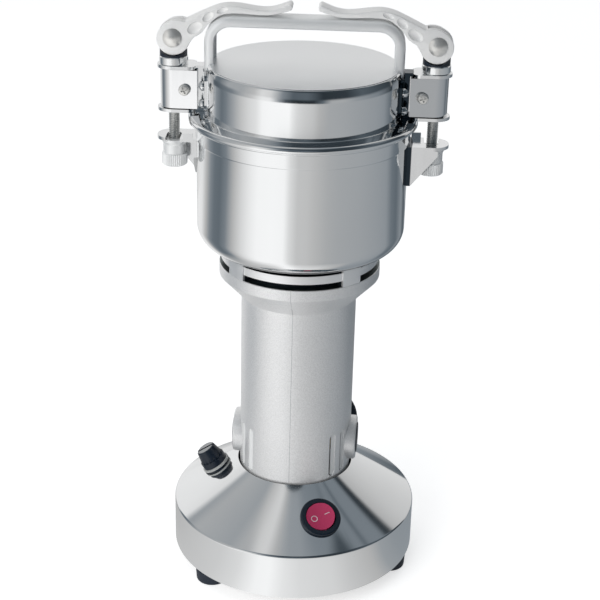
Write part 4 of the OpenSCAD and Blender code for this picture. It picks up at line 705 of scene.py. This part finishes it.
def slot_prism(name, length, width, low, high, steps=12):
    # A bar with round ends, long side along x, from low to high in z
    half, r = length / 2 - width / 2, width / 2
    loop = ([(half + r * cos(t), r * sin(t)) for t in [-pi / 2 + pi * i / steps for i in range(steps + 1)]]
            + [(-half + r * cos(t), r * sin(t)) for t in [pi / 2 + pi * i / steps for i in range(steps + 1)]])
    shape = bmesh.new()
    floor_loop, roof_loop = [[shape.verts.new((x * MM, y * MM, z * MM)) for x, y in loop] for z in (low, high)]
    shape.faces.new(floor_loop[::-1])
    shape.faces.new(roof_loop)
    for k in range(len(loop)):
        j = (k + 1) % len(loop)
        shape.faces.new((floor_loop[k], floor_loop[j], roof_loop[j], roof_loop[k]))
    bmesh.ops.recalc_face_normals(shape, faces=shape.faces)
    mesh = bpy.data.meshes.new(name)
    shape.to_mesh(mesh)
    shape.free()
    return mesh


column_line = ([(28.7, 12), (41, 12), (41, 16)] + arc(34.9, 19, 3, 270, 180, 8)
               + [(31.9, 164.5), (44.2, 177.5), (44.2, 183.5), (43.9, 183.8), (38.5, 183.8), (38.5, 177.5),
                  (28.7, 164.5)])
column = turned("motor_housing", column_line, cast, "stand", ["motor_column"], segments=160)
boss_line = [(12.7, 26.0), (12.7, boss_end - 1.2), (12.4, boss_end - 0.4), (11.8, boss_end)]
bosses = [placed(lathe_mesh("boss", boss_line), pointing_out(side, brush_z)) for side in (0, 180)]
bosses.append(placed(lathe_mesh("gland_boss", [(8.5, 26.0), (8.5, 33.4)]), pointing_out(45.5, brush_z + 2)))
bosses.append(lathe_mesh("bridge", [(28.9, 53.0), (28.9, 57.0)]))
bosses.append(lathe_mesh("bearing_seat", [(14.5, 52.9), (14.5, 60.0)]))
body = carve(column.data, bosses, "UNION")
bores = [placed(lathe_mesh("bore", [(8.4, 20.0), (8.4, 45.0)]), pointing_out(side, brush_z)) for side in (0, 180)]
bores.append(placed(lathe_mesh("gland_bore", [(6.0, 20.0), (6.0, 45.0)]), pointing_out(45.5, brush_z + 2)))
bores.append(lathe_mesh("bearing_bore", [(11.0, 54.5), (11.0, 61.0)]))
bores.append(lathe_mesh("shaft_bore", [(4.5, 50.0), (4.5, 56.0)]))
vent_angles = [-43, -27.5, 137, 152.5, 207.5, 223]
for angle in vent_angles:
    bores.append(placed(slot_prism("vent", 26.5, 4.4, 27.0, 35.0), pointing_out(angle, brush_z - 1)))
column.data = clean_mesh(carve(body, bores))
smooth_by_angle(column.data, 30)
# painted shade: the flat upward faces on the rim take the dark seat colour, for the shade of the shield
column.data.materials.append(seat_painted_shade)
for face in column.data.polygons:
    if face.center.z > 183.6 * MM and face.normal.z > 0.9:
        face.material_index = 1
print("column faces:", len(column.data.polygons))

# %% [markdown]
# Behind the vents stands a thin white strip, a painted light that stands in for the brightly lit
# walls of the slots, so that the slots look light. In the slots at the right it
# stops short of one side, which leaves a dark line there. The black caps of the brushes close the bosses. Each cap
# has a coin slot.

# %% Vent strips and brush caps
# The strips are painted light: white sheets in the vents that stand in for lit slot walls
strips = []
for angle in vent_angles:
    wide, aside = (4.2, 0.0) if angle > 200 else (2.9, 0.75)
    strips.append(placed(slot_prism("strip", 26.3, wide, 30.9, 31.3),
                         pointing_out(angle, brush_z - 1) @ Matrix.Translation((0, aside * MM, 0))))
light_strip_mesh = joined("vent_light_strips", strips)
smooth_by_angle(light_strip_mesh)
link_piece("vent_light_strips", light_strip_mesh, vent_light_white, "stand")
cap_line = ([(7.9, 30.6), (7.9, boss_end + 0.05), (8.7, boss_end + 0.05)]
            + arc(8.2, boss_end + 0.1, 0.5, 0, 90, 6) + [(0.05, boss_end + 0.6)])
caps = []
for side in (0, 180):
    cap = carve(lathe_mesh("cap", cap_line), [box_mesh("coin", (-10, -0.8, boss_end - 0.4), (10, 0.8, 40))])
    caps.append(placed(clean_mesh(cap), pointing_out(side, brush_z)))
cap_mesh = joined("brush_cap_pair", caps)
smooth_by_angle(cap_mesh)
link_piece("brush_cap_pair", cap_mesh, black_plastic, "stand", ["brush_caps"])
print("vent strips:", len(strips), "caps:", len(caps))

# %% [markdown]
# ## Feet
# Three rubber feet, turned, with a waist where they pass the edge of the skirt and a soft lower edge.

# %% Feet
foot_ring, foot_r = 60.2, 9.4
foot_line = ([(5.2, 8.0), (5.2, 0.0)] + arc(foot_r - 2.0, 1.6, 1.6, -90, 0, 6)
             + [(foot_r, 7.6), (foot_r - 1.4, 8.7), (foot_r - 1.4, 9.95), (2.0, 9.95), (2.0, 8.0)])
rubber_feet = []
for k in range(3):
    place = Matrix.Rotation(radians(-17.4 + 120 * k), 4, "Z") @ Matrix.Translation((foot_ring * MM, 0, 0))
    foot = turned("foot", foot_line, None, "stand", segments=48)
    rubber_feet.append(placed(foot.data.copy(), place))
    bpy.data.objects.remove(foot)
feet_mesh = joined("rubber_feet", rubber_feet)
smooth_by_angle(feet_mesh)
link_piece("rubber_feet", feet_mesh, rubber, "stand", ["feet"])
print("feet:", len(rubber_feet))

# %% [markdown]
# ## The handle
# A steel strap with both long edges turned in. One cross-section is carried along the path: up
# a leg, round the corner, across the top and down again.

# %% Handle
def swept(name, section, path, mat, body, replaced=(), angle=30):
    # section is a closed loop of (outwards, along y) in mm, path a list of ((x, z), outward direction)
    shape = bmesh.new()
    rings = [[shape.verts.new(((x + d[0] * n) * MM, y * MM, (z + d[1] * n) * MM)) for n, y in section]
             for (x, z), d in path]
    for a, b in zip(rings, rings[1:]):
        for k in range(len(section)):
            j = (k + 1) % len(section)
            shape.faces.new((a[k], a[j], b[j], b[k]))
    shape.faces.new(rings[0][::-1])
    shape.faces.new(rings[-1])
    bmesh.ops.recalc_face_normals(shape, faces=shape.faces)
    mesh = bpy.data.meshes.new(name)
    shape.to_mesh(mesh)
    shape.free()
    smooth_by_angle(mesh, angle)
    return link_piece(name, mesh, mat, body, replaced)


strap_round, strap_t, strap_depth, strap_half = 3.2, 1.3, 5.3, 8.0
outer = [(n, y) for n, y in arc(-strap_round, strap_half - strap_round, strap_round, 90, 0, 10)]
inner_r = strap_round - strap_t
inner = arc(-strap_round, strap_half - strap_round, inner_r, 0, 90, 8)
lip = arc(-strap_depth + strap_t / 2, strap_half - strap_t / 2, strap_t / 2, 90, 270, 8)
half = [(n, y) for n, y in inner] + [(-strap_depth + strap_t / 2, strap_half - strap_t)]
side = inner + lip[::-1] + outer
section = side + [(n, -y) for n, y in side[::-1]]
corner_r, leg_x, top_z = 14.0, 52.0, 318.85
path = [((leg_x, 286.0), (1, 0)), ((leg_x, top_z - corner_r), (1, 0))]
for i in range(1, 17):
    a = radians(90 * i / 16)
    path.append(((leg_x - corner_r + corner_r * cos(a), top_z - corner_r + corner_r * sin(a)),
                 (cos(a), sin(a))))
path += [((-x, z), (-dx, dz)) for (x, z), (dx, dz) in path[::-1]]
handle_piece = swept("strap_handle", section, path, strap_steel, "lid", ["handle"])
print("handle faces:", len(handle_piece.data.polygons))

# %% [markdown]
# ## Levers
# Each lever is a zinc casting, tumbled until every edge is soft. Its outline is drawn once, thickened
# with a rounded edge, and then the slot for the rod's eye and the pockets in the cheeks are cut out.

# %% Lever outline
ROD_X, PIN_Z = 68.5, 306.55
lever_length, cam_big, cam_drop, lever_open = 62.0, 9.25, 1.5, 130
cam_end, cam_dwell, cam_join = 208, 20, 0.164
upper_edge = [(0.105, 0.137), (0.226, 0.197), (0.363, 0.258), (0.46, 0.279), (0.556, 0.276),
              (0.653, 0.262), (0.766, 0.252), (0.863, 0.267), (0.95, 0.3)]
lower_edge = [(0.96, 0.252), (0.855, 0.221), (0.769, 0.211), (0.663, 0.215), (0.556, 0.22),
              (0.448, 0.213), (0.385, 0.189), (0.3, 0.119), (0.243, 0.047), (0.177, 0.006)]
pockets = [(0.19, 0.09, 0.14, 0.092, 35), (0.302, 0.184, 0.112, 0.07, 42), (0.42, 0.242, 0.1, 0.048, 22)]


def cam_radius(b):
    if b < 0:
        return cam_big
    if b < lever_open:
        return cam_big - cam_drop * b / lever_open
    if b < lever_open + cam_dwell:
        return cam_big - cam_drop
    climb = (b - lever_open - cam_dwell) / (cam_end - lever_open - cam_dwell)
    return cam_big - cam_drop + (lever_length * cam_join - cam_big + cam_drop) * climb ** 1.5


def through(points, steps=4):
    out = []
    for i in range(len(points) - 1):
        a, b = points[max(i - 1, 0)], points[i]
        c, d = points[i + 1], points[min(i + 2, len(points) - 1)]
        for k in range(steps):
            t = k / steps
            out.append(tuple(0.5 * (2 * b[n] + (c[n] - a[n]) * t + (2 * a[n] - 5 * b[n] + 4 * c[n] - d[n])
                                    * t * t + (3 * b[n] - a[n] - 3 * c[n] + d[n]) * t ** 3)
                             for n in (0, 1)))
    return out + [points[-1]]


def lever_outline():
    # (outwards, up) from the pin, in mm, for the right-hand clamp
    points = [(cam_radius(b) * sin(radians(b)), -cam_radius(b) * cos(radians(b)))
              for b in [-70 + 278 * i / 60 for i in range(61)]]
    points += [(-x, z) for x, z in through([(p[0] * lever_length, p[1] * lever_length) for p in upper_edge])]
    tip = (-0.972 * lever_length, 0.283 * lever_length)
    points += [(tip[0] - 1.6 * cos(radians(a)), tip[1] + 1.6 * sin(radians(a))) for a in range(100, -61, -20)]
    points += [(-x, z) for x, z in through([(p[0] * lever_length, p[1] * lever_length) for p in lower_edge])]
    return points


print("lever outline points:", len(lever_outline()))


# %% Solid from an outline, with rounded edges
def thick_plate(name, outline, half_width, edge):
    # A filled curve that Blender thickens and rounds, then turned into a mesh in the XZ plane
    curve = bpy.data.curves.new(name, "CURVE")
    curve.dimensions, curve.fill_mode = "2D", "BOTH"
    curve.extrude, curve.bevel_depth, curve.bevel_resolution = (half_width - edge) * MM, edge * MM, 3
    curve.offset = -edge * MM
    spline = curve.splines.new("POLY")
    spline.points.add(len(outline) - 1)
    for point, (x, z) in zip(spline.points, outline):
        point.co = (x * MM, z * MM, 0, 1)
    spline.use_cyclic_u = True
    made = bpy.data.objects.new(name, curve)
    bpy.context.scene.collection.objects.link(made)
    bpy.context.view_layer.update()
    mesh = bpy.data.meshes.new_from_object(made.evaluated_get(bpy.context.evaluated_depsgraph_get()))
    bpy.data.objects.remove(made)
    bpy.data.curves.remove(curve)
    mesh.transform(Matrix.Rotation(pi / 2, 4, "X"))
    return mesh


def ball_cutter(centre, radii, tilt):
    mesh = bpy.data.meshes.new("pocket")
    shape = bmesh.new()
    bmesh.ops.create_uvsphere(shape, u_segments=32, v_segments=20, radius=1)
    place = (Matrix.Translation([c * MM for c in centre]) @ Matrix.Rotation(radians(tilt), 4, "Y")
             @ Matrix.Diagonal((*[r * MM for r in radii], 1)))
    shape.transform(place)
    shape.to_mesh(mesh)
    shape.free()
    return mesh


# %% Levers, both sides
def mirror_x(mesh):
    mesh.transform(Matrix.Diagonal((-1, 1, 1, 1)))
    mesh.flip_normals()
    return mesh


lever_half, slot_half, pocket_depth = 5.5, 3.25, 1.0
for hand in ("right", "left"):
    casting = clean_mesh(thick_plate("lever_" + hand, lever_outline(), lever_half, 0.45))
    cutters = [box_mesh("slot", (-5.6, -slot_half, -20), (20, slot_half, 20))]
    for px, pz, length, width, tilt in pockets:
        for face in (-1, 1):
            cutters.append(ball_cutter((-px * lever_length, face * lever_half, pz * lever_length),
                                       (length * lever_length / 2, pocket_depth, width * lever_length / 2), tilt))
    casting = clean_mesh(carve(casting, cutters))
    casting.transform(Matrix.Translation((ROD_X * MM, 0, PIN_Z * MM)))
    if hand == "left":
        mirror_x(casting)
    casting.materials.clear()
    smooth_by_angle(casting, 35)
    link_piece("cast_lever_" + hand, casting, lever_metal, hand + "_lever", ["lever_" + hand])
    print(hand, "lever faces:", len(casting.polygons))

# %% [markdown]
# ## Threaded rods
# The M6 rods show their thread between the clamp box and the nut. A real thread is a helix: each turn
# climbs one pitch. The mesh is a grid that is rolled into a cylinder, with its crests shifted up by
# one pitch for every turn.

# %% Rods
def thread_mesh(name, r_crest, r_root, pitch, z0, z1, steps=40):
    shape = bmesh.new()
    per = 6
    profile = [0.0, 0.5, 1.0, 1.0, 0.5, 0.0]
    count = int((z1 - z0) / pitch * per)
    rings = []
    for i in range(count + 1):
        ring = []
        for k in range(steps):
            z = z0 + i * pitch / per
            phase = ((i / per) - k / steps) % 1.0
            tooth = 1 - abs(2 * phase - 1)
            r = r_root + (r_crest - r_root) * min(1.0, tooth * 1.25)
            ring.append(shape.verts.new((r * cos(2 * pi * k / steps) * MM, r * sin(2 * pi * k / steps) * MM,
                                         z * MM)))
        rings.append(ring)
    for a, b in zip(rings, rings[1:]):
        for k in range(steps):
            j = (k + 1) % steps
            shape.faces.new((a[k], a[j], b[j], b[k]))
    shape.faces.new(rings[0][::-1])
    shape.faces.new(rings[-1])
    mesh = bpy.data.meshes.new(name)
    shape.to_mesh(mesh)
    shape.free()
    return mesh


lay_along_y = Matrix.Rotation(pi / 2, 4, "X")
for hand, sign in (("right", 1), ("left", -1)):
    thread = thread_mesh("thread", 2.95, 2.58, 1.0, 235.9, 290.0)
    shank = lathe_mesh("shank", [(2.95, 290.0), (2.95, PIN_Z - 3.4)])
    eye = lathe_mesh("eye", [(2.6, -2.6), (4.7, -2.6), (5.0, -2.3), (5.0, 2.3), (4.7, 2.6), (2.6, 2.6)],
                     Matrix.Translation((0, 0, PIN_Z * MM)) @ lay_along_y)
    rod = joined("rod_mesh", [thread, shank, eye])
    rod.transform(Matrix.Translation((sign * ROD_X * MM, 0, 0)))
    smooth_by_angle(rod, 50)
    link_piece("threaded_rod_" + hand, rod, thread_steel, hand + "_rod", ["rod_" + hand])
print("thread pitch 1 mm, crest radius 2.95 mm")

# %% [markdown]
# ## Screws of the clamp boxes
# The pan heads on the fronts of the clamp boxes take a cross-head driver. The head is turned, and
# a cross of two thin wedges is cut into it.

# %% Pan-head screws
def cross_cutter(reach, width, depth, top):
    parts = []
    for angle in (20, 110):
        wedge = box_mesh("wedge", (-reach, -width, top - depth), (reach, width, top + 1))
        wedge.transform(Matrix.Rotation(radians(angle), 4, "Z"))
        parts.append(wedge)
    return parts


head_line = [(1.28, -14.0), (1.28, 0.0), (3.0, 0.0)] + arc(2.0, 1.0, 1.0, 0, 90, 8) + [(0.02, 2.1)]
heads = []
for sign in (1, -1):
    head = carve(lathe_mesh("head", head_line), cross_cutter(1.75, 0.42, 1.1, 2.1))
    place = Matrix.Translation((sign * 62.2 * MM, -7.0 * MM, 279.65 * MM)) @ lay_along_y
    head.transform(place)
    heads.append(clean_mesh(head))
screw_mesh = joined("screw_mesh", heads)
smooth_by_angle(screw_mesh, 35)
link_piece("box_screw_heads", screw_mesh, pin_metal, "lid", ["box_screws"])
print("screw faces:", len(screw_mesh.polygons))

# %% [markdown]
# ## The rocker's marks
# The rocker is dished, and its two marks are printed on the dish: a ring for off at the left and
# a stroke for on at the right. They are thin strips of mesh that follow the hollow, a hair above it.

# %% Marks
sw_angle, sw_r = -70.5, 50.9
switch_place = (on_cone(sw_r, sw_angle) @ Matrix.Rotation(radians(10), 4, "Z")
                @ Matrix.Translation((0, 0, 0.4 * MM)) @ Matrix.Rotation(radians(7), 4, "X"))
dish_r, dish_mid = 26.0, 26.0 + 3.2 - 1.2


def on_dish(x, y, lift=0.05):
    return (x * MM, y * MM, (dish_mid - sqrt(dish_r ** 2 - y * y) + lift) * MM)


def strip(shape, inner, outer):
    a = [shape.verts.new(on_dish(*p)) for p in inner]
    b = [shape.verts.new(on_dish(*p)) for p in outer]
    for k in range(len(a) - 1):
        shape.faces.new((a[k], a[k + 1], b[k + 1], b[k]))


shape = bmesh.new()
ring_at, ring_out, ring_in = (0.2, -3.9), 1.82, 1.48
turns = [2 * pi * k / 40 for k in range(41)]
strip(shape, [(ring_at[0] + ring_in * cos(t), ring_at[1] + ring_in * sin(t)) for t in turns],
      [(ring_at[0] + ring_out * cos(t), ring_at[1] + ring_out * sin(t)) for t in turns])
dash = [(-0.25, 2.5 + 2.9 * k / 8) for k in range(9)]
strip(shape, [(x + 0.17, y) for x, y in dash], [(x - 0.17, y) for x, y in dash])
bmesh.ops.remove_doubles(shape, verts=shape.verts, dist=1e-7)
bmesh.ops.recalc_face_normals(shape, faces=shape.faces)
shape.transform(switch_place)
marks_mesh = bpy.data.meshes.new("rocker_marks")
shape.to_mesh(marks_mesh)
shape.free()
link_piece("rocker_marks", marks_mesh, white_mark, "switch_rocker")
print("mark faces:", len(marks_mesh.polygons))

# %% [markdown]
# ## The casting seam
# The mould's two halves met along a line at the front of the column. A trace of it stands a few
# hundredths of a millimetre proud.

# %% Seam
seam_turn = Matrix.Rotation(radians(-93.2), 4, "Z")
shape = bmesh.new()
left_side, right_side, crest = [], [], []
for r, z in [(31.9, 60.0 + i * 5.2) for i in range(21)] + [(38.0, 171.0), (44.2, 177.5), (44.2, 183.7)]:
    wobble = 0.05 * sin(z * 1.7)
    for side, store, up in ((-0.16, left_side, -0.02), (0.0, crest, 0.07), (0.16, right_side, -0.02)):
        store.append(shape.verts.new(((r + up) * MM, (side + wobble) * MM, z * MM)))
for k in range(len(crest) - 1):
    shape.faces.new((left_side[k], crest[k], crest[k + 1], left_side[k + 1]))
    shape.faces.new((crest[k], right_side[k], right_side[k + 1], crest[k + 1]))
bmesh.ops.recalc_face_normals(shape, faces=shape.faces)
shape.transform(seam_turn)
seam_mesh = bpy.data.meshes.new("casting_seam")
shape.to_mesh(seam_mesh)
shape.free()
link_piece("casting_seam", seam_mesh, seam_shade, "stand")
print("seam points:", len(seam_mesh.vertices))

# %% [markdown]
# ## View settings
# The picture is shown through the Standard view transform.

# %% View settings
bpy.context.scene.view_settings.view_transform = "Standard"
